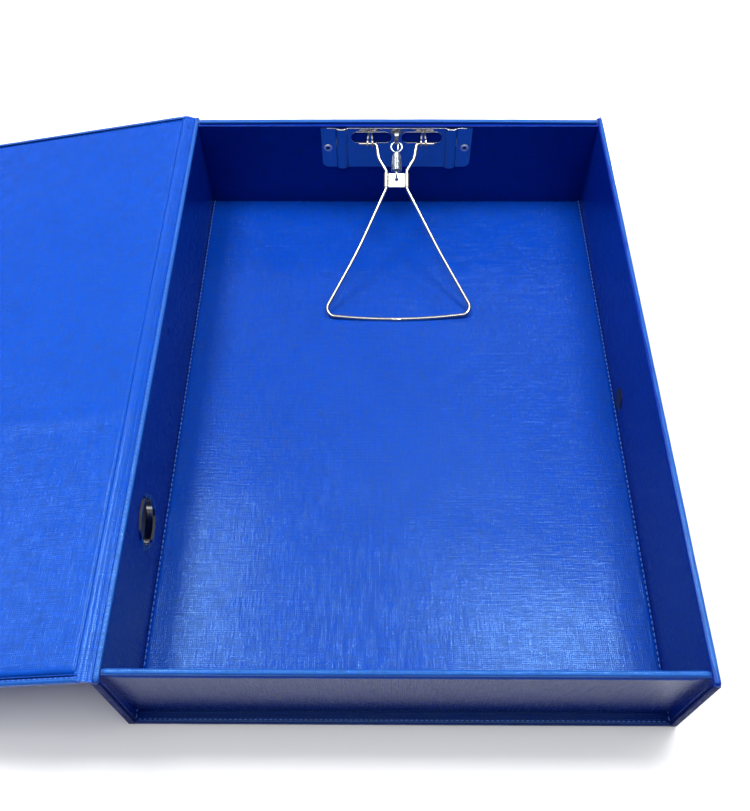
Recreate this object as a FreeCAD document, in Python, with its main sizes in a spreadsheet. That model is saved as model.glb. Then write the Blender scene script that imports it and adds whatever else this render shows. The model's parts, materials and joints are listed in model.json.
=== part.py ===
import FreeCAD, Part

import math
import os
import re

import Sketcher

# Archival document box: a tray of wrapped board with a sprung wire clip on its back wall,
# a hinged lid and a closing flap with a press stud.
#
# Frame, in millimetres: +X is to the right, from the hinge side to the stud side, +Y is to the
# back wall, +Z is up. The origin is the centre of the tray's underside. The lid lies open to the
# left, and its flap's free edge rests on the surface that the tray stands on.

Vector = FreeCAD.Vector

DIMENSIONS = {
    # tray
    "box_width": 250.0,
    "box_length": 346.6,
    "side_height": 64.4,
    "board": 2.0,
    "sheet_stock": 0.4,
    "front_inset": 5.3,
    "back_inset": 4.7,
    "front_lean": 2.6,
    "end_wall_drop": 0.4,
    # lid, flap and their folds
    "lid_gap": 0.4,
    "flap_gap": 0.6,
    "fold_gap": 0.5,
    "fold_drop": 0.4,
    "lid_slope": 10.1,
    "flap_length": 60.0,
    "tip_clearance": 0.1,
    # finger ring in the hinge-side wall
    "ring_from_front": 85.3,
    "ring_height": 35.0,
    "ring_flange": 28.0,
    "ring_bore": 22.6,
    "ring_hole": 24.4,
    "ring_rim": 1.0,
    # press stud
    "stud_height": 12.0,
    "stud_cap": 12.4,
    "stud_flange": 8.0,
    "stud_post": 3.0,
    "stud_nub": 3.8,
    "stud_nub_height": 2.2,
    "socket_outer": 8.0,
    "socket_bore": 4.4,
    "socket_depth": 2.2,
    # clip plate on the back wall
    "clip_centre": -0.8,
    "plate_width": 93.0,
    "plate_height": 29.6,
    "plate_top": 63.0,
    "plate_stock": 0.8,
    "plate_corner": 4.0,
    "rib_spacing": 67.8,
    "rib_radius": 4.7,
    "rib_depth": 1.8,
    "slot_length": 25.2,
    "slot_height": 8.0,
    "slot_spacing": 31.0,
    "lug_centre": 16.3,
    "lug_gap": 2.6,
    "lug_flare": 4.0,
    "lug_hole": 2.3,
    "hook_inner": 4.8,
    "hook_stock": 0.65,
    "hook_width": 2.2,
    "rivet_spacing": 85.2,
    "rivet_shank": 3.6,
    "rivet_bore": 2.8,
    "rivet_head": 5.4,
    "washer_outer": 9.0,
    # bail
    "pivot_from_plate": 6.1,
    "pivot_height": 56.2,
    "wire": 2.0,
    "bail_floor_gap": 0.3,
    "bail_reach": 109.0,
    "bail_end": 23.0,
    "bail_neck": 12.4,
    "bail_waist": 6.3,
    "bail_corner": 44.6,
    "crimp_start": 18.6,
    "crimp_length": 8.5,
    "crimp_stock": 0.5,
    "crimp_hole": 2.2,
    "crimp_hole_at": 22.4,
    # extension spring of the clip
    "anchor_from_plate": 3.6,
    "anchor_height": 55.8,
    "spring_wire": 1.0,
    "spring_loop": 3.3,
    "spring_small": 2.65,
    "spring_large": 3.15,
}


def document_with_sheet():
    """The document and its spreadsheet, one named cell for each driving dimension."""
    new_document = FreeCAD.newDocument("archival_box")
    cells = new_document.addObject("Spreadsheet::Sheet", "params")
    for row, (name, value) in enumerate(DIMENSIONS.items(), start=1):
        cells.set("A%d" % row, name)
        cells.set("B%d" % row, str(value))
        cells.setAlias("B%d" % row, name)
    new_document.recompute()
    return new_document, cells


doc, sheet = document_with_sheet()
WORD = re.compile(r"[a-z][a-z_]*[a-z]")


def formula(text):
    """An expression over the sheet's names, such as "box_width / 2"."""
    return WORD.sub(lambda match: "params." + match.group() if match.group() in DIMENSIONS
                    else match.group(), str(text))


def number(text):
    """The present value of such an expression."""
    return float(sheet.evalExpression(formula(text)))


# ---------------------------------------------------------------- building blocks

def new_body(label):
    body = doc.addObject("PartDesign::Body", label)
    body.Label = label
    return body


def sketch_on(body, plane, offset="0"):
    """A sketch on one of the body's origin planes, moved along the plane's normal."""
    sketch = body.newObject("Sketcher::SketchObject", body.Label + "_sketch")
    support = [face for face in body.Origin.OriginFeatures if face.Role == plane][0]
    sketch.AttachmentSupport = [(support, "")]
    sketch.MapMode = "FlatFace"
    sketch.setExpression("AttachmentOffset.Base.z", formula(offset))
    return sketch


def pin_point(sketch, geometry, point, place):
    """Ties a sketch point to the sheet by its two coordinates."""
    for kind, text in zip(("DistanceX", "DistanceY"), place):
        index = sketch.addConstraint(Sketcher.Constraint(kind, geometry, point, number(text)))
        sketch.setExpression("Constraints[%d]" % index, formula(text))


def draw_outline(sketch, outline):
    """A closed outline of straight runs through points given as pairs of expressions."""
    first = sketch.GeometryCount
    corners = [Vector(number(u), number(v), 0) for u, v in outline]
    for start, end in zip(corners, corners[1:] + corners[:1]):
        sketch.addGeometry(Part.LineSegment(start, end), False)
    count = len(corners)
    for index in range(count):
        following = first + (index + 1) % count
        sketch.addConstraint(Sketcher.Constraint("Coincident", first + index, 2, following, 1))
    for index, place in enumerate(outline):
        pin_point(sketch, first + index, 1, place)


def draw_circle(sketch, place, diameter):
    centre = Vector(number(place[0]), number(place[1]), 0)
    circle = Part.Circle(centre, Vector(0, 0, 1), number(diameter) / 2)
    geometry = sketch.addGeometry(circle, False)
    index = sketch.addConstraint(Sketcher.Constraint("Diameter", geometry, number(diameter)))
    sketch.setExpression("Constraints[%d]" % index, formula(diameter))
    pin_point(sketch, geometry, 3, place)


def rectangle(u_low, u_high, v_low, v_high):
    return [(u_low, v_low), (u_high, v_low), (u_high, v_high), (u_low, v_high)]


def extruded(label, plane, outline, depth, offset="0", holes=()):
    """A piece cut from stock: an outline with round holes, padded from its plane."""
    body = new_body(label)
    sketch = sketch_on(body, plane, offset)
    draw_outline(sketch, outline)
    for place, diameter in holes:
        draw_circle(sketch, place, diameter)
    pad = body.newObject("PartDesign::Pad", label + "_pad")
    pad.Profile = sketch
    pad.setExpression("Length", formula(depth))
    doc.recompute()
    return body


def drill(body, plane, holes):
    """Round holes right through a body, both ways from an origin plane."""
    before = body.Shape.Volume
    sketch = sketch_on(body, plane)
    for place, diameter in holes:
        draw_circle(sketch, place, diameter)
    pocket = body.newObject("PartDesign::Pocket", body.Label + "_holes")
    pocket.Profile = sketch
    pocket.Type = "ThroughAll"
    pocket.SideType = "Symmetric"
    doc.recompute()
    if body.Shape.Volume > before - 0.1:
        raise RuntimeError("the holes in %s cut nothing" % body.Label)


def turned(label, profile):
    """A round piece: a profile of (radius, height) corners turned about its own Z axis."""
    body = new_body(label)
    sketch = sketch_on(body, "XZ_Plane")
    draw_outline(sketch, profile)
    revolution = body.newObject("PartDesign::Revolution", label + "_turn")
    revolution.Profile = sketch
    revolution.ReferenceAxis = (sketch, ["V_Axis"])
    revolution.Angle = 360
    doc.recompute()
    return body


def primitive(kind, name, sizes, corner):
    """A Part primitive whose sizes and position are expressions."""
    made = doc.addObject("Part::" + kind, name)
    for size_name, text in sizes.items():
        made.setExpression(size_name, formula(text))
    for axis, text in zip("xyz", corner):
        made.setExpression("Placement.Base." + axis, formula(text))
    return made


def box(name, size, corner):
    return primitive("Box", name, dict(zip(("Length", "Width", "Height"), size)), corner)


def cylinder(name, radius, height, base, direction=(0, 0, 1)):
    made = primitive("Cylinder", name, {"Radius": radius, "Height": height}, base)
    made.Placement.Rotation = FreeCAD.Rotation(Vector(0, 0, 1), Vector(*direction))
    return made


def fused(name, pieces):
    made = doc.addObject("Part::MultiFuse", name)
    made.Shapes = pieces
    return made


def cut(name, base, tool):
    made = doc.addObject("Part::Cut", name)
    made.Base = base
    made.Tool = tool
    return made


def grouped(label, pieces):
    """Several like pieces in one node, as separate solids."""
    made = doc.addObject("Part::Compound", label)
    made.Label = label
    made.Links = pieces
    doc.recompute()
    return made


def place_on_axis(body, base, direction):
    """Puts a turned piece's own Z axis along a direction, from a base point."""
    origin = Vector(*[number(text) for text in base])
    body.Placement = FreeCAD.Placement(origin, FreeCAD.Rotation(Vector(0, 0, 1), Vector(*direction)))


def polar(angle, length=1.0):
    """A vector in the XZ plane, its angle in degrees counted from +X towards +Z."""
    return Vector(math.cos(math.radians(angle)), 0, math.sin(math.radians(angle))) * length


def panel_placement(crease, angle):
    """Own X runs away from the crease along the angle, own Z points to the panel's inner face."""
    return FreeCAD.Placement(crease, FreeCAD.Rotation(polar(angle), Vector(0, -1, 0), polar(angle - 90)))


# ---------------------------------------------------------------- tray

WALL = "(board + 2 * sheet_stock)"
HALF_LENGTH = "box_length / 2"
BOARD_END = "(box_length / 2 - sheet_stock)"
INNER_SIDE = "(box_width / 2 - board - 2 * sheet_stock)"
FLOOR = WALL


def base_pieces():
    half = "(box_width / 2)"
    extruded("base_cover", "XY_Plane",
             rectangle("-" + half, half, "-" + HALF_LENGTH, HALF_LENGTH), "sheet_stock")
    inner = "(box_width / 2 - sheet_stock)"
    extruded("base_board", "XY_Plane",
             rectangle("-" + inner, inner, "-" + BOARD_END, BOARD_END), "board", "sheet_stock")
    lining = "(box_width / 2 - sheet_stock - board)"
    extruded("base_lining", "XY_Plane",
             rectangle("-" + lining, lining, "-" + BOARD_END, BOARD_END),
             "sheet_stock", "sheet_stock + board")


def hinge_side_wall():
    """The left wall. Its lining turns over the board's top, and its outer cover stops at the fold."""
    centre = ("ring_from_front - box_length / 2", "ring_height")
    ring = [(centre, "ring_hole")]
    extruded("left_wall_cover", "YZ_Plane",
             rectangle("-" + HALF_LENGTH, HALF_LENGTH, "sheet_stock",
                       "side_height - fold_drop - sheet_stock"),
             "sheet_stock", "-box_width / 2", ring)
    extruded("left_wall_board", "YZ_Plane",
             rectangle("-" + BOARD_END, BOARD_END, "sheet_stock + board", "side_height - sheet_stock"),
             "board", "sheet_stock - box_width / 2", ring)
    inner_face = "-" + INNER_SIDE
    board_face = "(sheet_stock + board - box_width / 2)"
    fold_edge = "(0.3 + sheet_stock - box_width / 2)"
    lining = extruded("left_wall_lining", "XZ_Plane", [
        (inner_face, FLOOR), (inner_face, "side_height"), (fold_edge, "side_height"),
        (fold_edge, "side_height - sheet_stock"), (board_face, "side_height - sheet_stock"),
        (board_face, FLOOR)], "box_length", "-box_length / 2")
    drill(lining, "YZ_Plane", ring)


def stud_side_wall():
    """The right wall. Its outer cover turns over the board's top."""
    stud = [(("0", "stud_height"), "stud_post")]
    outer_face = "(box_width / 2)"
    board_face = "(box_width / 2 - sheet_stock)"
    cover = extruded("right_wall_cover", "XZ_Plane", [
        (outer_face, "sheet_stock"), (outer_face, "side_height"), (INNER_SIDE, "side_height"),
        (INNER_SIDE, "side_height - sheet_stock"), (board_face, "side_height - sheet_stock"),
        (board_face, "sheet_stock")], "box_length", "-box_length / 2")
    drill(cover, "YZ_Plane", stud)
    extruded("right_wall_board", "YZ_Plane",
             rectangle("-" + BOARD_END, BOARD_END, "sheet_stock + board", "side_height - sheet_stock"),
             "board", "box_width / 2 - sheet_stock - board", stud)
    extruded("right_wall_lining", "YZ_Plane",
             rectangle("-" + HALF_LENGTH, HALF_LENGTH, FLOOR, "side_height - sheet_stock"),
             "sheet_stock", INNER_SIDE, stud)


def end_wall(name, side, inset, lean, rivets):
    """An end wall between the side walls: a board in a folded cover, standing on the floor.

    side is -1 for the front and 1 for the back, and the wall's top leans outward by lean."""
    top = "(side_height - end_wall_drop)"
    rise = "(side_height - end_wall_drop - board - 2 * sheet_stock)"

    def corner(depth, height):
        """A point so deep behind the wall's outer face, at a height, on the leaning section."""
        leaning = "(%s) * ((%s) - %s) / %s" % (lean, height, FLOOR, rise)
        return ("%d * (box_length / 2 - (%s) + %s - (%s))" % (side, inset, leaning, depth), height)

    under_fold = "(side_height - end_wall_drop - sheet_stock)"
    inner_sheet = "(board + sheet_stock)"
    extruded(name + "_board", "YZ_Plane", [
        corner("sheet_stock", FLOOR), corner("sheet_stock", under_fold),
        corner(inner_sheet, under_fold), corner(inner_sheet, FLOOR)],
        "2 * " + INNER_SIDE, "-" + INNER_SIDE)
    extruded(name + "_cover", "YZ_Plane", [
        corner("0", FLOOR), corner("0", top), corner(WALL, top), corner(WALL, FLOOR),
        corner(inner_sheet, FLOOR), corner(inner_sheet, under_fold),
        corner("sheet_stock", under_fold), corner("sheet_stock", FLOOR)],
        "2 * " + INNER_SIDE, "-" + INNER_SIDE)
    if rivets:
        for label in (name + "_board", name + "_cover"):
            drill(doc.getObject(label), "XZ_Plane", rivets)


def finger_ring():
    """Two turned halves: the outer one's collar passes through the wall into the inner one."""
    outer = turned("finger_ring_outer", [
        ("ring_bore / 2", "0"), ("ring_bore / 2 + 0.8", "-ring_rim"),
        ("ring_flange / 2 - 0.8", "-ring_rim"), ("ring_flange / 2", "0"),
        ("ring_hole / 2", "0"), ("ring_hole / 2", WALL), ("ring_bore / 2", WALL)])
    inner = turned("finger_ring_inner", [
        ("ring_bore / 2", "0"), ("ring_flange / 2", "0"), ("ring_flange / 2 - 0.8", "ring_rim"),
        ("ring_bore / 2 + 0.8", "ring_rim")])
    along_wall = "ring_from_front - box_length / 2"
    place_on_axis(outer, ("-box_width / 2", along_wall, "ring_height"), (1, 0, 0))
    place_on_axis(inner, ("-" + INNER_SIDE, along_wall, "ring_height"), (1, 0, 0))


def press_stud():
    """The cap and post on the wall's inner face, and the stud that it holds on the outer face."""
    cap = turned("stud_cap", [
        ("0", "-0.9"), ("stud_cap / 2 - 1.2", "-0.9"), ("stud_cap / 2", "-0.3"),
        ("stud_cap / 2", "0"), ("stud_post / 2 - 0.1", "0"), ("stud_post / 2 - 0.1", WALL),
        ("0", WALL)])
    stud = turned("snap_stud", [
        ("0", "0"), ("stud_flange / 2", "0"), ("stud_flange / 2", "0.3"),
        ("stud_nub / 2 - 0.3", "0.3"), ("stud_nub / 2 - 0.3", "0.9"),
        ("stud_nub / 2", "stud_nub_height - 0.6"), ("stud_nub / 2 - 0.4", "stud_nub_height"),
        ("0", "stud_nub_height")])
    place_on_axis(cap, (INNER_SIDE, "0", "stud_height"), (1, 0, 0))
    place_on_axis(stud, ("box_width / 2", "0", "stud_height"), (1, 0, 0))


# ---------------------------------------------------------------- clip plate

PLATE_BACK = "(box_length / 2 - back_inset - board - 2 * sheet_stock)"
PLATE_FRONT = "(box_length / 2 - back_inset - board - 2 * sheet_stock - plate_stock)"
PLATE_BOTTOM = "(plate_top - plate_height)"
RIVET_HEIGHT = "(plate_top - plate_height / 2)"
PIVOT_Y = "(%s - pivot_from_plate)" % PLATE_FRONT


def across(spacing, side):
    """The x of a feature on one side of the clip's centre line."""
    return "(clip_centre + %d * (%s))" % (side, spacing)


def clip_plate():
    """A nickel-plated strip with two ribs, two slots, four pivot lugs and the spring's hook."""
    solid = [box("plate_blank", ("plate_width", "plate_stock", "plate_height"),
                 ("clip_centre - plate_width / 2", PLATE_FRONT, PLATE_BOTTOM))]
    removed = []
    for side in (-1, 1):
        tag = "_left" if side < 0 else "_right"
        rib_base = (across("rib_spacing / 2", side),
                    "%s - rib_depth + rib_radius" % PLATE_FRONT, PLATE_BOTTOM)
        solid.append(cylinder("rib" + tag, "rib_radius", "plate_height", rib_base))
        removed.append(cylinder("rib_hollow" + tag, "rib_radius - plate_stock", "plate_height", rib_base))
        removed.append(box("slot" + tag,
                           ("slot_length - slot_height", "plate_stock + 2", "slot_height"),
                           ("%s - slot_length / 2 + slot_height / 2" % across("slot_spacing / 2", side),
                            PLATE_FRONT + " - 1", "pivot_height - slot_height / 2")))
        for end in (-1, 1):
            removed.append(cylinder(
                "slot_end" + tag, "slot_height / 2", "plate_stock + 2",
                ("%s + %d * (slot_length - slot_height) / 2" % (across("slot_spacing / 2", side), end),
                 PLATE_FRONT + " - 1", "pivot_height"), (0, 1, 0)))
        removed.append(cylinder("rivet_hole" + tag, "rivet_shank / 2 + 0.05", "plate_stock + 2",
                                (across("rivet_spacing / 2", side), PLATE_FRONT + " - 1", RIVET_HEIGHT),
                                (0, 1, 0)))
    removed.append(box("behind_plate", ("plate_width", "20", "plate_height + 2"),
                       ("clip_centre - plate_width / 2", PLATE_BACK, PLATE_BOTTOM + " - 1")))
    pressed = cut("plate_pressed", fused("plate_solid", solid), fused("plate_removed", removed))

    lugs = [slot_bridge_and_lugs(side) for side in (-1, 1)]
    pivot_hole = cylinder("lug_holes", "lug_hole / 2", "2 * bail_end + 4",
                          ("clip_centre - bail_end - 2", PIVOT_Y, "pivot_height"), (1, 0, 0))
    drilled = cut("plate_drilled", fused("plate_with_lugs", [pressed] + lugs + [spring_hook()]),
                  pivot_hole)
    doc.recompute()
    rounded = doc.addObject("Part::Fillet", "clip_base_plate")
    rounded.Base = drilled
    rounded.Edges = [(index, number("plate_corner"), number("plate_corner"))
                     for index in plate_corner_edges(drilled.Shape)]
    rounded.Label = "clip_base_plate"
    doc.recompute()


def plate_corner_edges(shape):
    """The numbers of the short edges through the plate's thickness at its two lower corners."""
    found = []
    for index, edge in enumerate(shape.Edges, start=1):
        bounds = edge.BoundBox
        at_end = abs(abs(bounds.Center.x - number("clip_centre")) - number("plate_width / 2")) < 0.01
        at_bottom = abs(bounds.Center.z - number(PLATE_BOTTOM)) < 0.01
        if at_end and at_bottom and bounds.YLength > 0.5 and bounds.XLength + bounds.ZLength < 0.01:
            found.append(index)
    return found


def slot_bridge_and_lugs(side):
    """The bridge across one slot, and the two lugs bent forward from its sides, flaring apart."""
    tag = "_left" if side < 0 else "_right"
    centre = across("lug_centre", side)
    pieces = [box("slot_bridge" + tag, ("lug_gap", "plate_stock", "slot_height"),
                  ("%s - lug_gap / 2" % centre, PLATE_FRONT, "pivot_height - slot_height / 2"))]
    for edge in (-1, 1):
        low_face = "lug_gap / 2 - plate_stock" if edge > 0 else "-lug_gap / 2"
        corner = ("%s + %s" % (centre, low_face), PLATE_FRONT, "pivot_height - slot_height / 2")
        arm = box("lug_arm" + tag, ("plate_stock", "pivot_from_plate + 0.4", "slot_height"),
                  (corner[0], PLATE_FRONT + " - pivot_from_plate", corner[2]))
        nose = cylinder("lug_nose" + tag, "slot_height / 2", "plate_stock",
                        (corner[0], PIVOT_Y, "pivot_height"), (1, 0, 0))
        lug = fused("lug" + tag, [arm, nose])
        root = Vector(number(centre) + edge * number("lug_gap / 2"), number(PLATE_FRONT), 0)
        lug.Placement = turn_about(root, edge * number("lug_flare"))
        pieces.append(lug)
    return fused("bridge_and_lugs" + tag, pieces)


def turn_about(point, angle):
    """A turn about the vertical line through a point."""
    turn = FreeCAD.Rotation(Vector(0, 0, 1), angle)
    return FreeCAD.Placement(point - turn.multVec(point), turn)


def spring_hook():
    """A half-round strap lanced out of the plate between the slots, standing forward."""
    outside = cylinder("hook_outside", "hook_inner + hook_stock", "hook_width",
                       ("clip_centre - hook_width / 2", PLATE_FRONT + " + 0.2", "anchor_height"),
                       (1, 0, 0))
    inside = cylinder("hook_inside", "hook_inner", "hook_width + 2",
                      ("clip_centre - hook_width / 2 - 1", PLATE_FRONT + " + 0.2", "anchor_height"),
                      (1, 0, 0))
    rear = box("hook_rear", ("hook_width + 2", "20", "30"),
               ("clip_centre - hook_width / 2 - 1", PLATE_FRONT + " + 0.4", "anchor_height - 15"))
    return cut("spring_hook", outside, fused("hook_removed", [inside, rear]))


def clip_rivets():
    """Two hollow rivets through the plate and the wall, each with a washer outside."""
    rivets = []
    washers = []
    wall_and_plate = "(board + 2 * sheet_stock + plate_stock)"
    for side in (-1, 1):
        tag = "_left" if side < 0 else "_right"
        rivet = turned("clip_rivet" + tag, [
            ("rivet_bore / 2", "-0.5"), ("rivet_head / 2 - 0.5", "-0.5"), ("rivet_head / 2", "0"),
            ("rivet_shank / 2", "0"), ("rivet_shank / 2", wall_and_plate + " + 0.4"),
            ("rivet_shank / 2 + 0.8", wall_and_plate + " + 0.4"),
            ("rivet_shank / 2 + 0.4", wall_and_plate + " + 0.9"),
            ("rivet_bore / 2", wall_and_plate + " + 0.9")])
        washer = turned("clip_washer" + tag, [
            ("rivet_shank / 2", "0"), ("washer_outer / 2", "0"), ("washer_outer / 2 - 0.2", "0.4"),
            ("rivet_shank / 2", "0.4")])
        x = across("rivet_spacing / 2", side)
        place_on_axis(rivet, (x, PLATE_FRONT, RIVET_HEIGHT), (0, 1, 0))
        place_on_axis(washer, (x, "box_length / 2 - back_inset", RIVET_HEIGHT), (0, 1, 0))
        rivets.append(rivet)
        washers.append(washer)
    grouped("clip_rivets", rivets)
    grouped("clip_washers", washers)


# ---------------------------------------------------------------- bail and spring

def rounded_path(points, radii):
    """Straight runs through the points, joined at each inner point by a tangent arc."""
    edges = []
    start = points[0]
    for before, corner, after, radius in zip(points, points[1:], points[2:], radii):
        back = (before - corner).normalize()
        ahead = (after - corner).normalize()
        half = back.getAngle(ahead) / 2
        reach = radius / math.tan(half)
        middle = corner + (back + ahead).normalize() * (radius / math.sin(half) - radius)
        entry = corner + back * reach
        leave = corner + ahead * reach
        edges.append(Part.LineSegment(start, entry).toShape())
        edges.append(Part.Arc(entry, middle, leave).toShape())
        start = leave
    edges.append(Part.LineSegment(start, points[-1]).toShape())
    return Part.Wire(edges)


def swept_round(path, diameter):
    """A round wire along a path."""
    first = path.Edges[0]
    start = first.valueAt(first.FirstParameter)
    section = Part.Wire(Part.makeCircle(diameter / 2, start, first.tangentAt(first.FirstParameter)))
    return path.makePipeShell([section], True, True)


def shaped(label, shape, placement):
    """A node whose shape is made with Part's own functions."""
    made = doc.addObject("Part::Feature", label)
    made.Label = label
    made.Shape = shape
    made.Placement = placement
    return made


def bail_angle():
    """How far below the horizontal the bail hangs when its far bar lies on the floor."""
    rise = number("pivot_height - bail_floor_gap - wire / 2 - " + FLOOR)
    return math.degrees(math.asin(rise / number("bail_reach")))


def bail_placement():
    """Own X is the pivot axis, own Y runs along the bail, own Z is its upper side."""
    pivot = Vector(number("clip_centre"), number(PIVOT_Y), number("pivot_height"))
    turn = math.radians(bail_angle())
    along = Vector(0, -math.cos(turn), -math.sin(turn))
    upper = Vector(0, -math.sin(turn), math.cos(turn))
    return FreeCAD.Placement(pivot, FreeCAD.Rotation(Vector(-1, 0, 0), along, upper))


def bail_wire():
    """One wire bent to a triangle: out-turned ends, a waist for the crimp, and a bowed far bar."""
    waist_start = number("crimp_start") - 1.4
    waist_end = number("crimp_start + crimp_length") + 1.0
    reach = number("bail_reach")
    radii = [2.0, 8.0, 4.0, 4.0, 300.0, 4.8]

    def leg(side, spread, corner_back):
        """The corners of one half, from its pivot end; the two legs were bent a little unlike."""
        spots = [(number("bail_end"), 0), (number("bail_neck"), 0),
                 (number("bail_neck") - 1.5, 9.2), (number("bail_waist"), waist_start),
                 (number("bail_waist"), waist_end), (23.6 + spread, 67.4),
                 (number("bail_corner") + spread, reach - 2.56 - corner_back)]
        return [Vector(side * x, y, 0) for x, y in spots]

    crown = [Vector(0, reach + 1.63, 0)]
    path = rounded_path(leg(1, 0, 0) + crown + leg(-1, 2.4, 1.1)[::-1], radii + [330.0] + radii[::-1])
    shaped("bail_wire", swept_round(path, number("wire")), bail_placement())


def crimp_plate():
    """A strip that ties the two legs together, its sides rolled round the wires."""
    start = number("crimp_start")
    length = number("crimp_length")
    waist = number("bail_waist")
    stock = number("crimp_stock")
    bore = number("wire") / 2 + 0.02
    shape = Part.makeBox(2 * (waist - bore), length, stock, Vector(bore - waist, start, -stock / 2))
    for side in (-1, 1):
        foot = Vector(side * waist, start, 0)
        roll = Part.makeCylinder(bore + stock, length, foot, Vector(0, 1, 0))
        shape = shape.fuse(roll)
    for side in (-1, 1):
        foot = Vector(side * waist, start - 1, 0)
        shape = shape.cut(Part.makeCylinder(bore, length + 2, foot, Vector(0, 1, 0)))
    hole = Part.makeCylinder(number("crimp_hole") / 2, 2,
                             Vector(0, number("crimp_hole_at"), -1), Vector(0, 0, 1))
    shaped("crimp_plate", shape.cut(hole).removeSplitter(), bail_placement())


def clip_spring():
    """The extension spring, from its swivel on the hook to the hole in the crimp plate.

    The close-wound coil is a ribbed sleeve of the coil's outer shape."""
    anchor = Vector(number("clip_centre"), number(PLATE_FRONT + " - anchor_from_plate"),
                    number("anchor_height"))
    hole = bail_placement().multVec(Vector(0, number("crimp_hole_at"), 0))
    along = hole - anchor
    length = along.Length
    along.normalize()
    upper = Vector(-1, 0, 0).cross(along)
    placement = FreeCAD.Placement(anchor, FreeCAD.Rotation(Vector(-1, 0, 0), along, upper))

    wire = number("spring_wire")
    loop = number("spring_loop")
    loop_centre = loop + 0.2
    top_loop = Part.makeTorus(loop, wire / 2, Vector(0, loop_centre, 0), Vector(0, 0, 1))

    sleeve_start = loop_centre + loop + 0.1
    sleeve_end = length - 5.6
    turns = 12
    pitch = (sleeve_end - sleeve_start) / turns
    profile = [Vector(0, sleeve_start, 0)]
    for turn in range(turns):
        share = min(1.0, (turn + 0.5) / 3)
        swell = (turn + 0.5) / turns
        crest = share * (number("spring_small") + swell * number("spring_large - spring_small"))
        crest = max(crest, wire * 0.9)
        low = sleeve_start + turn * pitch
        profile.append(Vector(crest - 0.22, low + 0.02, 0))
        profile.append(Vector(crest, low + pitch / 2, 0))
        profile.append(Vector(crest - 0.22, low + pitch - 0.02, 0))
    profile.append(Vector(0, sleeve_end, 0))
    face = Part.Face(Part.makePolygon(profile + profile[:1]))
    sleeve = face.revolve(Vector(0, 0, 0), Vector(0, 1, 0), 360)

    curl = 2.3
    lower_loop = Part.makeTorus(curl, wire / 2, Vector(0, length - curl, 0), Vector(1, 0, 0))
    shank = Part.makeCylinder(wire / 2, length - 2 * curl - sleeve_end + 0.3,
                              Vector(0, sleeve_end - 0.3, 0), Vector(0, 1, 0))
    shape = sleeve.fuse([top_loop, lower_loop, shank]).removeSplitter()
    shaped("clip_spring", shape, placement)


# ---------------------------------------------------------------- lid and flap

FOLD_MIDDLE = "sheet_stock / 2"
INNER_LAYER = "(board + sheet_stock / 2)"
STRIP_LENGTH = "(lid_gap + fold_drop + board + 1.5 * sheet_stock)"
LID_SPAN = "(box_width + flap_gap - sheet_stock / 2)"
FLAP_STRIP_LENGTH = "((board + 1.5 * sheet_stock) * 1.41421356)"


def lid_creases():
    """The rest places of the four creases, and the flap's angle with its tip on the surface."""
    slope = 180 + number("lid_slope")
    first = Vector(number("sheet_stock / 2 - box_width / 2"), 0, number("side_height - fold_drop"))
    second = first + polar(slope, number(STRIP_LENGTH))
    third = second + polar(slope, number(LID_SPAN))
    fourth = third + polar(slope, number(FLAP_STRIP_LENGTH))
    drop = fourth.z - number("tip_clearance")
    reach = math.hypot(number("flap_length"), number("sheet_stock / 2"))
    lead = math.degrees(math.atan2(number("sheet_stock / 2"), number("flap_length")))
    flap_angle = 180 + math.degrees(math.asin(drop / reach)) - lead
    return {"slope": slope, "flap_angle": flap_angle,
            "creases": (first, second, third, fourth)}


def folding_strip(label, length, crease, angle):
    """The bare double sheet between two creases."""
    strip = extruded(label, "XY_Plane",
                     rectangle("fold_gap", "%s - fold_gap" % length, "-" + HALF_LENGTH, HALF_LENGTH),
                     "sheet_stock", "-sheet_stock / 2")
    strip.Placement = panel_placement(crease, angle)


def panel(name, low, high, crease, angle, holes):
    """A wrapped board: its outer cover, board and lining, in the panel's own frame."""
    edge_low = "(%s + sheet_stock)" % low
    edge_high = "(%s - sheet_stock)" % high
    layers = (("_cover", low, high, HALF_LENGTH, "sheet_stock", "-sheet_stock / 2"),
              ("_board", edge_low, edge_high, BOARD_END, "board", "sheet_stock / 2"),
              ("_lining", low, high, HALF_LENGTH, "sheet_stock", INNER_LAYER))
    for suffix, near, far, half, stock, offset in layers:
        piece = extruded(name + suffix, "XY_Plane", rectangle(near, far, "-" + half, half),
                         stock, offset, holes.get(suffix, ()))
        piece.Placement = panel_placement(crease, angle)


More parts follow.
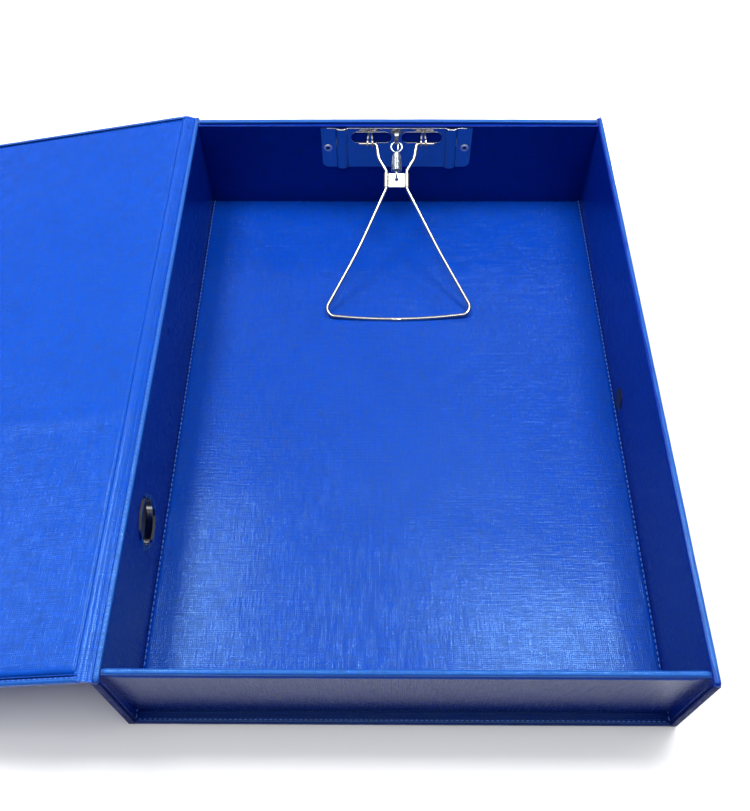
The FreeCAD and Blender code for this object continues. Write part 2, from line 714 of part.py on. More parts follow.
def lid_and_flap():
    rest = lid_creases()
    first, second, third, fourth = rest["creases"]
    slope = rest["slope"]
    folding_strip("lid_hinge_strip", STRIP_LENGTH, first, slope)
    panel("lid", "fold_gap", "(%s - fold_gap)" % LID_SPAN, second, slope, {})
    folding_strip("flap_hinge_strip", FLAP_STRIP_LENGTH, third, slope)

    closed_crease_height = "(side_height + lid_gap)"
    stud_place = ("(%s - stud_height)" % closed_crease_height, "0")
    holes = {"_cover": [(stud_place, "stud_post")],
             "_board": [(stud_place, "socket_outer + 0.2")],
             "_lining": [(stud_place, "socket_outer + 0.2")]}
    panel("flap", "fold_gap", "flap_length", fourth, rest["flap_angle"], holes)

    cap = turned("snap_cap", [
        ("0", "-0.9"), ("stud_cap / 2 - 1.2", "-0.9"), ("stud_cap / 2", "-0.3"),
        ("stud_cap / 2", "0"), ("stud_post / 2 - 0.1", "0"), ("stud_post / 2 - 0.1", "0.6"),
        ("0", "0.6")])
    socket = turned("snap_socket", [
        ("socket_bore / 2", "-socket_depth"), ("socket_outer / 2", "-socket_depth"),
        ("socket_outer / 2", "0"), ("socket_bore / 2", "0")])
    frame = panel_placement(fourth, rest["flap_angle"])
    outer_face = Vector(number(stud_place[0]), 0, -number(FOLD_MIDDLE))
    inner_face = Vector(number(stud_place[0]), 0, number("board + 1.5 * sheet_stock"))
    cap.Placement = FreeCAD.Placement(frame.multVec(outer_face), frame.Rotation)
    socket.Placement = FreeCAD.Placement(frame.multVec(inner_face), frame.Rotation)


# ---------------------------------------------------------------- assembly and files

NODES = [
    "base_cover", "base_board", "base_lining",
    "left_wall_cover", "left_wall_board", "left_wall_lining",
    "right_wall_cover", "right_wall_board", "right_wall_lining",
    "front_wall_board", "front_wall_cover", "back_wall_board", "back_wall_cover",
    "finger_ring_outer", "finger_ring_inner", "stud_cap", "snap_stud",
    "clip_base_plate", "clip_rivets", "clip_washers",
    "bail_wire", "crimp_plate", "clip_spring",
    "lid_hinge_strip", "lid_cover", "lid_board", "lid_lining",
    "flap_hinge_strip", "flap_cover", "flap_board", "flap_lining", "snap_cap", "snap_socket",
]


def build():
    rivet_places = [((across("rivet_spacing / 2", side), RIVET_HEIGHT), "rivet_shank")
                    for side in (-1, 1)]
    base_pieces()
    hinge_side_wall()
    stud_side_wall()
    end_wall("front_wall", -1, "front_inset", "front_lean", [])
    end_wall("back_wall", 1, "back_inset", "0", rivet_places)
    finger_ring()
    press_stud()
    clip_plate()
    clip_rivets()
    bail_wire()
    crimp_plate()
    clip_spring()
    lid_and_flap()
    doc.recompute()


def checked_shape(label):
    """The node's shape, after making sure that it is whole."""
    shape = doc.getObjectsByLabel(label)[0].Shape
    if shape.isNull() or not shape.isValid() or not shape.Solids:
        raise RuntimeError("%s has no valid solid" % label)
    return shape


def print_joint_facts():
    """The axes and ranges that the joints need, worked out from the same sheet."""
    rest = lid_creases()
    for name, crease in zip(("lid lower", "lid upper", "flap upper", "flap lower"), rest["creases"]):
        print("crease %-10s x %.4f z %.4f" % (name, crease.x, crease.z))
    print("lid angle %.3f, flap angle %.3f" % (rest["slope"], rest["flap_angle"]))
    print("pivot y %.3f z %.3f" % (number(PIVOT_Y), number("pivot_height")))
    print("bail hangs %.4f below the horizontal" % bail_angle())


def main():
    build()
    for each in doc.Objects:
        if "Invalid" in each.State or "Error" in each.State:
            raise RuntimeError("%s failed: %s" % (each.Label, each.State))
    shapes = {label: checked_shape(label) for label in NODES}
    os.makedirs("parts", exist_ok=True)
    for label, shape in shapes.items():
        shape.exportStep(os.path.join("parts", label + ".step"))
        print("%-20s %d solid(s), %.1f mm3" % (label, len(shape.Solids), shape.Volume))
    print_joint_facts()


main()
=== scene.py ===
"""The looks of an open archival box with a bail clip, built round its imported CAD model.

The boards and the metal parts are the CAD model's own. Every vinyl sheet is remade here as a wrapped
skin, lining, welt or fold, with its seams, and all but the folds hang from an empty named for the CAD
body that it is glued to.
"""

import json
import math

import bmesh
import bpy
from mathutils import Matrix, Vector, noise
from mathutils.geometry import tessellate_polygon


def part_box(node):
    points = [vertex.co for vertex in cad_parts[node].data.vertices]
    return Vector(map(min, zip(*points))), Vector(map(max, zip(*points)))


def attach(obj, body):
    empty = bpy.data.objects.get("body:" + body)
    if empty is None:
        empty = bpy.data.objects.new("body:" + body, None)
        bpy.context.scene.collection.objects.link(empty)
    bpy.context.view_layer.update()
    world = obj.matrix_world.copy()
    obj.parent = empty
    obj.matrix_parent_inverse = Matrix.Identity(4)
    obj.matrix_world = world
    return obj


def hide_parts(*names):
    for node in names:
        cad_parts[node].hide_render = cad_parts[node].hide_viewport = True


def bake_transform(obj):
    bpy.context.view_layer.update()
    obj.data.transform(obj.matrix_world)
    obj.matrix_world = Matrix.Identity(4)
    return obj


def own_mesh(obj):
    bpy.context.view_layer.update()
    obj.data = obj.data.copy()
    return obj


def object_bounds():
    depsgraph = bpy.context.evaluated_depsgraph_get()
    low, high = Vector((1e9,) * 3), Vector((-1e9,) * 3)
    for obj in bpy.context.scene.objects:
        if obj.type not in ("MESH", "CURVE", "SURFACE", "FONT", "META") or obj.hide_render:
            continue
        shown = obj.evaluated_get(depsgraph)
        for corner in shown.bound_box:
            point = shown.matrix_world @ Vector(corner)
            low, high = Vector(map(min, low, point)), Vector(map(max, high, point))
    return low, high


MM = 0.001
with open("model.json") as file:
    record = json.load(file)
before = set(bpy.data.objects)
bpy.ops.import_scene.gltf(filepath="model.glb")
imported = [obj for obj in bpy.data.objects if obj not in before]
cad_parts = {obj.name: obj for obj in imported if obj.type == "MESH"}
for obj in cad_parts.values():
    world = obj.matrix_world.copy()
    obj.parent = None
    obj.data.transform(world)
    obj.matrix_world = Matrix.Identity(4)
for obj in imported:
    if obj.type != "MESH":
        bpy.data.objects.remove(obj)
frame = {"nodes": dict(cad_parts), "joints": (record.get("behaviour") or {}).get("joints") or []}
CAD_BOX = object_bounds()
JOINTS = {joint["name"]: Vector(joint["pos_m"]) for joint in frame["joints"]}

# Sheet and board sizes that the skins share, in metres.
SKIN = 0.45 * MM          # how far a skin stands off the CAD sheet that it replaces
WALL = 2.8 * MM           # a wrapped board, over both sheets
EDGE = 1.0 * MM           # rounding of a wrapped board's edge
WEAVE = 0.95 * MM         # the emboss's thread spacing
SQUARE_CORNER = 1.6 * MM  # rounding of a panel's or a side wall's corners in its own plane
NOISE_ORIGIN = Vector((3.7, 1.9, 8.3))
HOLE_SIDES = 40


# ---------------------------------------------------------------- panels and meshes

class Panel:
    """A flat board's own axes: u and v lie in it, and w is its normal, toward the box's inside."""

    def __init__(self, origin, u, v):
        self.origin = Vector(origin)
        self.u = Vector(u).normalized()
        self.v = Vector(v).normalized()
        self.w = self.u.cross(self.v)

    def point(self, u, v, w):
        return self.origin + u * self.u + v * self.v + w * self.w


BASE = Panel((0, 0, 0), (1, 0, 0), (0, 1, 0))   # the frame's own axes


def folded_panel(node, crease):
    """The axes of a board that folds on a crease: u leads away from the crease, along the board."""
    spots = [v.co - crease for v in frame["nodes"][node].data.vertices]
    centre = sum(spots, Vector()) / len(spots)
    xx = sum((p.x - centre.x) ** 2 for p in spots)
    zz = sum((p.z - centre.z) ** 2 for p in spots)
    xz = sum((p.x - centre.x) * (p.z - centre.z) for p in spots)
    tilt = 0.5 * math.atan2(2 * xz, xx - zz)
    return Panel(crease, (-math.cos(tilt), 0, -math.sin(tilt)), (0, -1, 0))


def new_mesh(name, panel, spots, faces):
    """A smooth object from spots in a panel's axes, with a UV map in metres that lies along it."""
    mesh = bpy.data.meshes.new(name)
    mesh.from_pydata([panel.point(*spot) for spot in spots], [], faces)
    mesh.update()
    uv = mesh.uv_layers.new(name="cloth")
    for face in mesh.polygons:
        along = [abs(face.normal.dot(axis)) for axis in (panel.u, panel.v, panel.w)]
        facing = along.index(max(along))
        for corner in face.loop_indices:
            u, v, w = spots[mesh.loops[corner].vertex_index]
            uv.data[corner].uv = ((w, v), (u, w), (u, v))[facing]
    mesh.shade_smooth()
    obj = bpy.data.objects.new(name, mesh)
    bpy.context.scene.collection.objects.link(obj)
    return obj


def finished(obj, material, body, slot, *nodes):
    """Gives a piece its material and its body, and hides the CAD nodes that it stands for; the record
    slot is not used.
    """
    obj.data.materials.append(material)
    if body:
        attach(obj, body)
    if nodes:
        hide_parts(*nodes)
    return obj


def keep_flats_flat(obj, angle):
    """Smooth shading that stops at edges sharper than the angle, in degrees."""
    obj.data.set_sharp_from_angle(angle=math.radians(angle))
    return obj


def outline(span, radii, inset, steps=6):
    """A rounded rectangle moved in by inset: span is (u0, u1, v0, v1), radii one for each corner."""
    u0, u1, v0, v1 = span
    corners = ((u0, v0, 1, 1, 180), (u1, v0, -1, 1, 270), (u1, v1, -1, -1, 0), (u0, v1, 1, -1, 90))
    points = []
    for (u, v, su, sv, start), radius in zip(corners, radii):
        r = max(radius - inset, 0.1 * MM)
        for step in range(steps + 1):
            a = math.radians(start + 90 * step / steps)
            points.append((u + su * (inset + r) + r * math.cos(a),
                           v + sv * (inset + r) + r * math.sin(a)))
    return points


def circle(u, v, radius):
    turns = [math.tau * step / HOLE_SIDES for step in range(HOLE_SIDES)]
    return [(u + radius * math.cos(a), v + radius * math.sin(a)) for a in turns]


def rounded_rim(low, high, radius, steps=5):
    """A board edge's section from its back face to its front one, as (inset, w)."""
    rim = []
    for step in range(steps + 1):
        a = math.pi / 2 * step / steps
        rim.append((radius * (1 - math.sin(a)), low + radius * (1 - math.cos(a))))
    return rim + [(inset, low + high - w) for inset, w in reversed(rim)]


def slab(name, panel, span, radii, rim, holes=()):
    """A closed board skin: rounded corners in its plane, a rim section round it, and round holes."""
    spots, faces, loops = [], [], []
    for inset, w in rim:
        ring = outline(span, radii, inset)
        loops.append(range(len(spots), len(spots) + len(ring)))
        spots += [(u, v, w) for u, v in ring]
    for low, high in zip(loops, loops[1:]):
        faces += bridged(low, high)
    bores = []
    for u, v, radius in holes:
        ends = []
        for w in (rim[0][1], rim[-1][1]):
            ends.append(range(len(spots), len(spots) + HOLE_SIDES))
            spots += [(a, b, w) for a, b in circle(u, v, radius)]
        bores.append(ends)
        faces += bridged(ends[1], ends[0])
    for end, loop in ((0, loops[0]), (1, loops[-1])):
        rings = [list(loop)] + [list(bore[end]) for bore in bores]
        order = [index for ring in rings for index in ring]
        flat = [[Vector((spots[index][0], spots[index][1], 0)) for index in ring] for ring in rings]
        for triangle in tessellate_polygon(flat):
            a, b, c = (order[corner] for corner in triangle)
            area = ((spots[b][0] - spots[a][0]) * (spots[c][1] - spots[a][1])
                    - (spots[c][0] - spots[a][0]) * (spots[b][1] - spots[a][1]))
            faces.append((a, b, c) if (area > 0) == (end == 1) else (a, c, b))
    return keep_flats_flat(new_mesh(name, panel, spots, faces), 40)


def bridged(low, high):
    """The faces between two closed loops of the same length."""
    count = len(low)
    return [(low[k], low[(k + 1) % count], high[(k + 1) % count], high[k]) for k in range(count)]


def facing_out(obj):
    """Turns a closed skin's faces outward."""
    work = bmesh.new()
    work.from_mesh(obj.data)
    bmesh.ops.recalc_face_normals(work, faces=work.faces)
    work.to_mesh(obj.data)
    work.free()
    return obj


def lofted(name, panel, sections):
    """A closed skin over sections, each a closed ring of (u, v, w) spots, with a cap at each end."""
    spots, faces = [], []
    size = len(sections[0])
    for section in sections:
        spots += section
    for row in range(len(sections) - 1):
        for k in range(size):
            a, b = row * size + k, row * size + (k + 1) % size
            faces.append((a, b, b + size, a + size))
    faces.append(tuple(range(size))[::-1])
    last = (len(sections) - 1) * size
    faces.append(tuple(range(last, last + size)))
    return facing_out(new_mesh(name, panel, spots, faces))


def punched(spots, faces, hole):
    """A grid of spots with a round hole (u, v, radius): the spots round it are moved onto its edge."""
    middle, radius = Vector(hole[:2]), hole[2]
    inner = {index for index, spot in enumerate(spots)
             if (Vector(spot[:2]) - middle).length < radius}
    faces = [face for face in faces if not inner.issuperset(face)]
    used = sorted({index for face in faces for index in face})
    place = {index: new for new, index in enumerate(used)}
    kept = []
    for index in used:
        u, v, w = spots[index]
        if index in inner:
            u, v = middle + (Vector((u, v)) - middle).normalized() * radius
        kept.append((u, v, w))
    return kept, [tuple(place[index] for index in face) for face in faces]


def sheet(name, panel, span, cell, height, thickness, hole=None):
    """A glued sheet: a fine grid over the span at w = height(u, v), with its own thickness."""
    u0, u1, v0, v1 = span
    columns, rows = round((u1 - u0) / cell), round((v1 - v0) / cell)
    spots, faces = [], []
    for row in range(rows + 1):
        for column in range(columns + 1):
            u = u0 + (u1 - u0) * column / columns
            v = v0 + (v1 - v0) * row / rows
            spots.append((u, v, height(u, v)))
    for row in range(rows):
        for column in range(columns):
            a = row * (columns + 1) + column
            faces.append((a, a + 1, a + columns + 2, a + columns + 1))
    if hole:
        spots, faces = punched(spots, faces, hole)
    obj = new_mesh(name, panel, spots, faces)
    solid = obj.modifiers.new("stock", "SOLIDIFY")
    solid.thickness = thickness
    solid.offset = -1
    solid.use_even_offset = False
    return obj


def tube(name, points, radius, sides, ends=0.6):
    """A round wire along points, with narrower ends. Radius is a number or a function of 0 to 1."""
    sections = []
    side = None
    last = len(points) - 1
    for index, point in enumerate(points):
        ahead = points[min(index + 1, last)] - points[max(index - 1, 0)]
        ahead = ahead.normalized()
        if side is None:
            side = ahead.orthogonal().normalized()
        side = (side - side.dot(ahead) * ahead).normalized()
        up = ahead.cross(side)
        r = radius(index / last) if callable(radius) else radius
        if index in (0, last):
            r *= ends
        sections.append([tuple(point + r * (math.cos(a) * side + math.sin(a) * up))
                         for a in (math.tau * k / sides for k in range(sides))])
    return lofted(name, BASE, sections)


def swell(point, size, seed=0.0):
    """Smooth unevenness from -1 to 1 with features of about that size."""
    return noise.noise(point / size + NOISE_ORIGIN + Vector((seed, 0, 0)))


def eased(value, low, high):
    """0 below low, 1 above high, and smooth in between."""
    t = min(max((value - low) / (high - low), 0), 1)
    return t * t * (3 - 2 * t)


def squarish(wave, power):
    """A sine or cosine with its size raised to a power under 1, which squares a round section."""
    return math.copysign(abs(wave) ** power, wave)


def stations(half, steps):
    """Places from -half to half along a band, closer together toward its ends."""
    return [half * math.sin(math.pi / 2 * (2 * step / steps - 1)) for step in range(steps + 1)]


def closing(place, full, shut, least=0.02):
    """A band's size along its length: 1 up to full, and closed down to almost nothing at shut."""
    return math.sqrt(max(1 - eased(abs(place), full, shut), least))


def turns_of(sides):
    """The sine and cosine of each corner of a round section."""
    angles = [math.tau * side / sides for side in range(sides)]
    return [(math.cos(a), math.sin(a)) for a in angles]


# ---------------------------------------------------------------- materials

def material(name):
    made = bpy.data.materials.new(name)
    made.use_nodes = True
    return made, made.node_tree.nodes, made.node_tree.links, made.node_tree.nodes["Principled BSDF"]


def maths(nodes, links, operation, *values):
    node = nodes.new("ShaderNodeMath")
    node.operation = operation
    for socket, value in zip(node.inputs, values):
        if isinstance(value, (int, float)):
            socket.default_value = value
        else:
            links.new(value, socket)
    return node.outputs[0]


def noise_of(nodes, links, coordinate, scale, detail=3.0, stretch=(1, 1, 1)):
    mapping = nodes.new("ShaderNodeMapping")
    mapping.inputs["Scale"].default_value = stretch
    links.new(coordinate, mapping.inputs["Vector"])
    node = nodes.new("ShaderNodeTexNoise")
    node.inputs["Scale"].default_value = scale
    node.inputs["Detail"].default_value = detail
    links.new(mapping.outputs[0], node.inputs["Vector"])
    return node.outputs["Fac"]


def bump(nodes, links, height, distance, strength=1.0, under=None):
    node = nodes.new("ShaderNodeBump")
    node.inputs["Distance"].default_value = distance
    node.inputs["Strength"].default_value = strength
    links.new(height, node.inputs["Height"])
    if under is not None:
        links.new(under, node.inputs["Normal"])
    return node.outputs["Normal"]


def blended(nodes, links, factor, low, high):
    node = nodes.new("ShaderNodeMix")
    node.data_type = "RGBA"
    links.new(factor, node.inputs["Factor"])
    for socket, value in ((node.inputs["A"], low), (node.inputs["B"], high)):
        if isinstance(value, tuple):
            socket.default_value = value
        else:
            links.new(value, socket)
    return node.outputs["Result"]


def pressed_threads(nodes, links, across, slub):
    """One set of embossed threads: flat-topped ridges with narrow grooves of uneven depth between."""
    pushed = maths(nodes, links, "MULTIPLY_ADD", slub, 0.5 * WEAVE, across)
    wave = maths(nodes, links, "SINE", maths(nodes, links, "MULTIPLY", pushed, math.pi / WEAVE))
    ridge = maths(nodes, links, "ABSOLUTE", wave)
    flat = maths(nodes, links, "MINIMUM", maths(nodes, links, "MULTIPLY", ridge, 1.9), 1.0)
    groove = maths(nodes, links, "SUBTRACT", 1.0, flat)
    depth = maths(nodes, links, "MULTIPLY_ADD", slub, 1.8, -0.25)
    return maths(nodes, links, "SUBTRACT", 1.0, maths(nodes, links, "MULTIPLY", groove, depth))


def streaks(nodes, links, uv, scale, narrow):
    """Noise drawn out along the warp, and the same along the weft."""
    return (noise_of(nodes, links, uv, scale, 2.0, (1, narrow, 1)),
            noise_of(nodes, links, uv, scale, 2.0, (narrow, 1, 1)))


def vinyl(name, colour, gloss, emboss=0.07 * MM, shine=0.32, slub=0.70):
    """Linen-embossed PVC: two crossing sets of slubby threads pressed into a semi-gloss sheet.

    Emboss is the threads' depth, shine the specular level, and slub how much the yarns' gloss varies."""
    made, nodes, links, shader = material(name)
    uv = nodes.new("ShaderNodeUVMap").outputs["UV"]
    split = nodes.new("ShaderNodeSeparateXYZ")
    links.new(uv, split.inputs[0])
    warp_slub, weft_slub = streaks(nodes, links, uv, 620, 0.10)
    warp = pressed_threads(nodes, links, split.outputs["X"], warp_slub)
    weft = pressed_threads(nodes, links, split.outputs["Y"], weft_slub)
    weave = maths(nodes, links, "MULTIPLY", warp, weft)
    patch = noise_of(nodes, links, uv, 22, 3.0)
    yarns = maths(nodes, links, "ADD", *streaks(nodes, links, uv, 820, 0.13))
    # The colour runs between a dark and a bright copy of the vinyl: the emboss's grooves are painted
    # darker, which is painted shade, while the yarn streaks and soft clouds are the sheet's own uneven
    # tone.
    dark = tuple(c * 0.58 for c in colour) + (1,)
    bright = tuple(min(c * 1.12, 1) for c in colour) + (1,)
    cloudy = maths(nodes, links, "MULTIPLY_ADD", patch, 0.4, -1.35)
    uneven = maths(nodes, links, "MULTIPLY_ADD", yarns, 1.35, cloudy)
    tone = maths(nodes, links, "MULTIPLY_ADD", weave, 0.6, uneven)
    links.new(blended(nodes, links, tone, dark, bright), shader.inputs["Base Color"])
    groove_haze = maths(nodes, links, "MULTIPLY_ADD", weave, -0.16, gloss + 0.20 + slub)
    rough = maths(nodes, links, "MULTIPLY_ADD", yarns, -slub, groove_haze)
    links.new(maths(nodes, links, "MAXIMUM", rough, gloss * 0.5), shader.inputs["Roughness"])
    soft = bump(nodes, links, noise_of(nodes, links, uv, 26, 1.0), 0.3 * MM, 0.5)
    slubs = bump(nodes, links, yarns, 1.1 * emboss, 1.0, soft)
    links.new(bump(nodes, links, weave, emboss, 1.0, slubs), shader.inputs["Normal"])
    shader.inputs["Specular IOR Level"].default_value = shine
    shader.inputs["Specular Tint"].default_value = (0.4, 0.8, 1.0, 1)
    return made


def thread_yarn(name, colour):
    """Twisted polyester thread: slanting plies over a matt fibre."""
    made, nodes, links, shader = material(name)
    place = nodes.new("ShaderNodeTexCoord").outputs["Object"]
    wave = nodes.new("ShaderNodeTexWave")
    wave.inputs["Scale"].default_value = 900
    wave.inputs["Distortion"].default_value = 2.0
    wave.bands_direction = "DIAGONAL"
    links.new(place, wave.inputs["Vector"])
    low = tuple(c * 0.55 for c in colour) + (1,)
    links.new(blended(nodes, links, wave.outputs["Fac"], low, colour + (1,)),
              shader.inputs["Base Color"])
    links.new(bump(nodes, links, wave.outputs["Fac"], 0.08 * MM), shader.inputs["Normal"])
    shader.inputs["Roughness"].default_value = 0.5
    return made


def greyboard(name):
    """Recycled grey board: mottled fibres and a matt, pitted surface."""
    made, nodes, links, shader = material(name)
    place = nodes.new("ShaderNodeTexCoord").outputs["Object"]
    fibre = noise_of(nodes, links, place, 900, 6.0, (1, 0.3, 1))
    links.new(blended(nodes, links, fibre, (0.16, 0.15, 0.135, 1), (0.34, 0.32, 0.29, 1)),
              shader.inputs["Base Color"])
    links.new(bump(nodes, links, fibre, 0.15 * MM, 0.7), shader.inputs["Normal"])
    shader.inputs["Roughness"].default_value = 0.95
    return made


def plated(name, colour, roughness, metallic=1.0):
    """Bright plating over pressed or drawn steel: faint draw lines and dull patches."""
    grain, dulling = 0.004 * MM, 0.25
    made, nodes, links, shader = material(name)
    place = nodes.new("ShaderNodeTexCoord").outputs["Object"]
    lines = noise_of(nodes, links, place, 2600, 3.0, (1, 0.15, 0.4))
    dull = noise_of(nodes, links, place, 240, 4.0)
    tone = tuple(c * 0.86 for c in colour) + (1,)
    links.new(blended(nodes, links, dull, tone, colour + (1,)), shader.inputs["Base Color"])
    links.new(maths(nodes, links, "ADD", roughness * (1 - dulling / 2),
                    maths(nodes, links, "MULTIPLY", dull, roughness * dulling)),
              shader.inputs["Roughness"])
    links.new(bump(nodes, links, lines, grain), shader.inputs["Normal"])
    shader.inputs["Metallic"].default_value = metallic
    return made


def lacquer(name):
    """Black stove lacquer on the press stud's cap: glossy, with fine orange peel."""
    made, nodes, links, shader = material(name)
    place = nodes.new("ShaderNodeTexCoord").outputs["Object"]
    peel = noise_of(nodes, links, place, 900, 2.0)
    links.new(blended(nodes, links, peel, (0.004, 0.004, 0.005, 1), (0.012, 0.012, 0.014, 1)),
              shader.inputs["Base Color"])
    links.new(bump(nodes, links, peel, 0.01 * MM), shader.inputs["Normal"])
    shader.inputs["Roughness"].default_value = 0.3
    return made


LINING = vinyl("lining_vinyl", (0.0006, 0.052, 0.40), 0.16, slub=0.45)
# The floor's lining is the lid's vinyl in a slightly darker copy: painted shade for the floor, which
# sits low between the walls.
SHADED_FLOOR_LINING = vinyl("floor_vinyl_painted_shade", (0.0005, 0.039, 0.345), 0.15, slub=0.40)
# The walls' lining is the same vinyl in a much darker copy: painted shade for the upright inner walls,
# which face away from the lights above.
SHADED_WALL_LINING = vinyl("wall_vinyl_painted_shade", (0.0002, 0.015, 0.235), 0.20, 0.02 * MM, slub=0.15)
# The tray's cover is the same vinyl again in a still darker copy: painted shade for the box's outer
# faces, the ledges and the welds near the walls' ends.
SHADED_COVER = vinyl("cover_vinyl_painted_shade", (0.0004, 0.010, 0.14), 0.22, 0.015 * MM, slub=0.12)
WELT = vinyl("welt_vinyl", (0.0100, 0.078, 0.37), 0.28, 0.05 * MM)
# A darker copy of the roll's vinyl: painted shade for the underside of the front wall's roll.
SHADED_LIP = vinyl("lip_vinyl_painted_shade", (0.0005, 0.026, 0.24), 0.35, 0.02 * MM)
# A near-black copy of the vinyl: painted shade, laid in the lid's and flap's grooves, in the floor's
# side corners and on the side walls' end faces; it is also given little shine.
PAINTED_SHADE_GUTTER = vinyl("gutter_painted_shade", (0.0002, 0.008, 0.10), 0.5, 0.02 * MM, 0.08)
THREAD = thread_yarn("seam_thread", (0.09, 0.22, 0.80))
BOARD = greyboard("greyboard_fibre")
METALS = {
    "clip_base_plate": plated("nickel_sheet", (0.46, 0.46, 0.46), 0.15),
    "crimp_plate": plated("nickel_crimp", (0.50, 0.485, 0.455), 0.30),
    "bail_wire": plated("nickel_drawn_wire", (0.62, 0.595, 0.55), 0.15),
    "clip_rivets": plated("nickel_rivet_head", (0.95, 0.93, 0.88), 0.30, metallic=0.8),
    "clip_washers": plated("nickel_washer", (0.80, 0.79, 0.76), 0.22),
    "finger_ring_outer": plated("nickel_ring_outside", (0.34, 0.34, 0.35), 0.10),
    "finger_ring_inner": plated("nickel_ring_inside", (0.34, 0.34, 0.35), 0.10),
    "snap_socket": plated("snap_socket_metal", (0.72, 0.71, 0.69), 0.25),
    "snap_stud": plated("snap_stud_metal", (0.72, 0.71, 0.69), 0.22),
    "stud_cap": lacquer("stud_cap_lacquer"),
    "snap_cap": lacquer("snap_cap_lacquer"),
}
SPRING_STEEL = plated("zinc_spring_steel", (0.68, 0.74, 0.80), 0.18)


def dress_cad_nodes():
    """Gives every CAD node that stays visible its finished material."""
    for name, node in frame["nodes"].items():
        finish = METALS.get(name, BOARD)
        node.data.materials.clear()
        node.data.materials.append(finish)


# ---------------------------------------------------------------- seams

def seam(name, start, end, up, pitch, length, radius, body):
    """A row of stitches from start to end: short arched threads whose ends dive into the sheet."""
    run = end - start
    along = run.normalized()
    up = up.normalized()
    sideways = along.cross(up)
    spots, faces = [], []
    sides, rings = 6, 6
    for stitch in range(int(run.length / pitch)):
        middle = start + along * ((stitch + 0.5) * pitch)
        lean = 0.05 * swell(middle, 2 * MM)
        for ring in range(rings + 1):
            t = ring / rings
            centre = (middle + along * (length * (t - 0.5)) + sideways * (length * lean * (t - 0.5))
                      + up * (radius * (1.7 * math.sin(math.pi * t) - 1.1)))
            r = radius * (0.55 + 0.45 * math.sin(math.pi * t))
            for side in range(sides):
                a = math.tau * side / sides
                spots.append(tuple(centre + r * (math.cos(a) * sideways + math.sin(a) * up)))
        base = len(spots) - (rings + 1) * sides
        for ring in range(rings):
            low = [base + ring * sides + k for k in range(sides)]
            faces += bridged(low, [index + sides for index in low])
        faces.append(tuple(base + k for k in range(sides))[::-1])
        faces.append(tuple(base + rings * sides + k for k in range(sides)))
    return finished(facing_out(new_mesh(name, BASE, spots, faces)), THREAD, body, "pvc_lining")


# ---------------------------------------------------------------- the tray

HALF_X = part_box("base_cover")[1].x
HALF_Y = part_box("base_cover")[1].y
FLOOR_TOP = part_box("base_lining")[1].z
WALL_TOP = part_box("right_wall_cover")[1].z
END_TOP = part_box("front_wall_cover")[1].z
INSIDE_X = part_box("right_wall_lining")[0].x
BACK_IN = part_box("back_wall_cover")[0].y
BACK_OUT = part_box("back_wall_cover")[1].y
RING = (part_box("finger_ring_inner")[0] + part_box("finger_ring_inner")[1]) / 2
RING_HOLE = 12.0 * MM     # radius of the hole in the skin, hidden under the ring's flanges
UPRIGHT = (0, 0, 1)


def front_wall_foot():
    """The outer bottom corner of the leaning front wall."""
    foot = [v.co.y for v in frame["nodes"]["front_wall_cover"].data.vertices
            if v.co.z < FLOOR_TOP + 0.1 * MM]
    return min(foot)


FRONT_FOOT = front_wall_foot()
FRONT_LEAN = FRONT_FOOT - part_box("front_wall_cover")[0].y
LEFT = Panel((-HALF_X, 0, 0), (0, 1, 0), UPRIGHT)
RIGHT = Panel((HALF_X, 0, 0), (0, -1, 0), UPRIGHT)
FRONT = Panel((0, FRONT_FOOT, FLOOR_TOP), (-1, 0, 0), (0, -FRONT_LEAN, END_TOP - FLOOR_TOP))
BACK = Panel((0, BACK_OUT, FLOOR_TOP), (1, 0, 0), UPRIGHT)


def base_skin():
    span = (-HALF_X - SKIN, HALF_X + SKIN, -HALF_Y - SKIN, HALF_Y + SKIN)
    skin = slab("base_skin", BASE, span, [3.0 * MM] * 4, rounded_rim(0, FLOOR_TOP, 1.1 * MM))
    finished(skin, SHADED_COVER, "tray", "pvc_cover", "base_cover")


def floor_height(u, v):
    """The floor lining's level: glued flat round its edge, with soft swells across its middle."""
    from_edge = min(INSIDE_X - abs(u), v - FRONT_FOOT, BACK_IN - v)
    free = eased(from_edge, 0, 22 * MM)
    spot = Vector((u, v, 0))
    swells = (0.34 * swell(Vector((u * 1.2, v, 0)), 62 * MM) + 0.16 * swell(spot, 31 * MM, 5)
              + 0.06 * swell(spot, 13 * MM, 9))
    return FLOOR_TOP + 0.65 * MM + free * swells * MM


def floor_lining():
    span = (-INSIDE_X, INSIDE_X, FRONT_FOOT + 0.5 * MM, BACK_IN + 1.0 * MM)
    lining = sheet("floor_lining", BASE, span, 2.6 * MM, floor_height, 0.3 * MM)
    # The floor's lining takes the darker copy of the vinyl, which paints shade on the floor.
    finished(lining, SHADED_FLOOR_LINING, "tray", "pvc_lining", "base_lining")


def side_wall_skin(name, panel, holes, *nodes):
    """A side wall's vinyl: it runs past the end walls, and its top corners are rounded."""
    span = (-HALF_Y - SKIN, HALF_Y + SKIN, 0.4 * MM, WALL_TOP + 0.15 * MM)
    rim = rounded_rim(-0.25 * MM, WALL + 0.1 * MM, EDGE)
    skin = slab(name, panel, span, [SQUARE_CORNER] * 4, rim, holes)
    # Painted shade: the side walls take the darker wall copy of the vinyl.
    finished(skin, SHADED_WALL_LINING, "tray", "pvc_lining", *nodes)


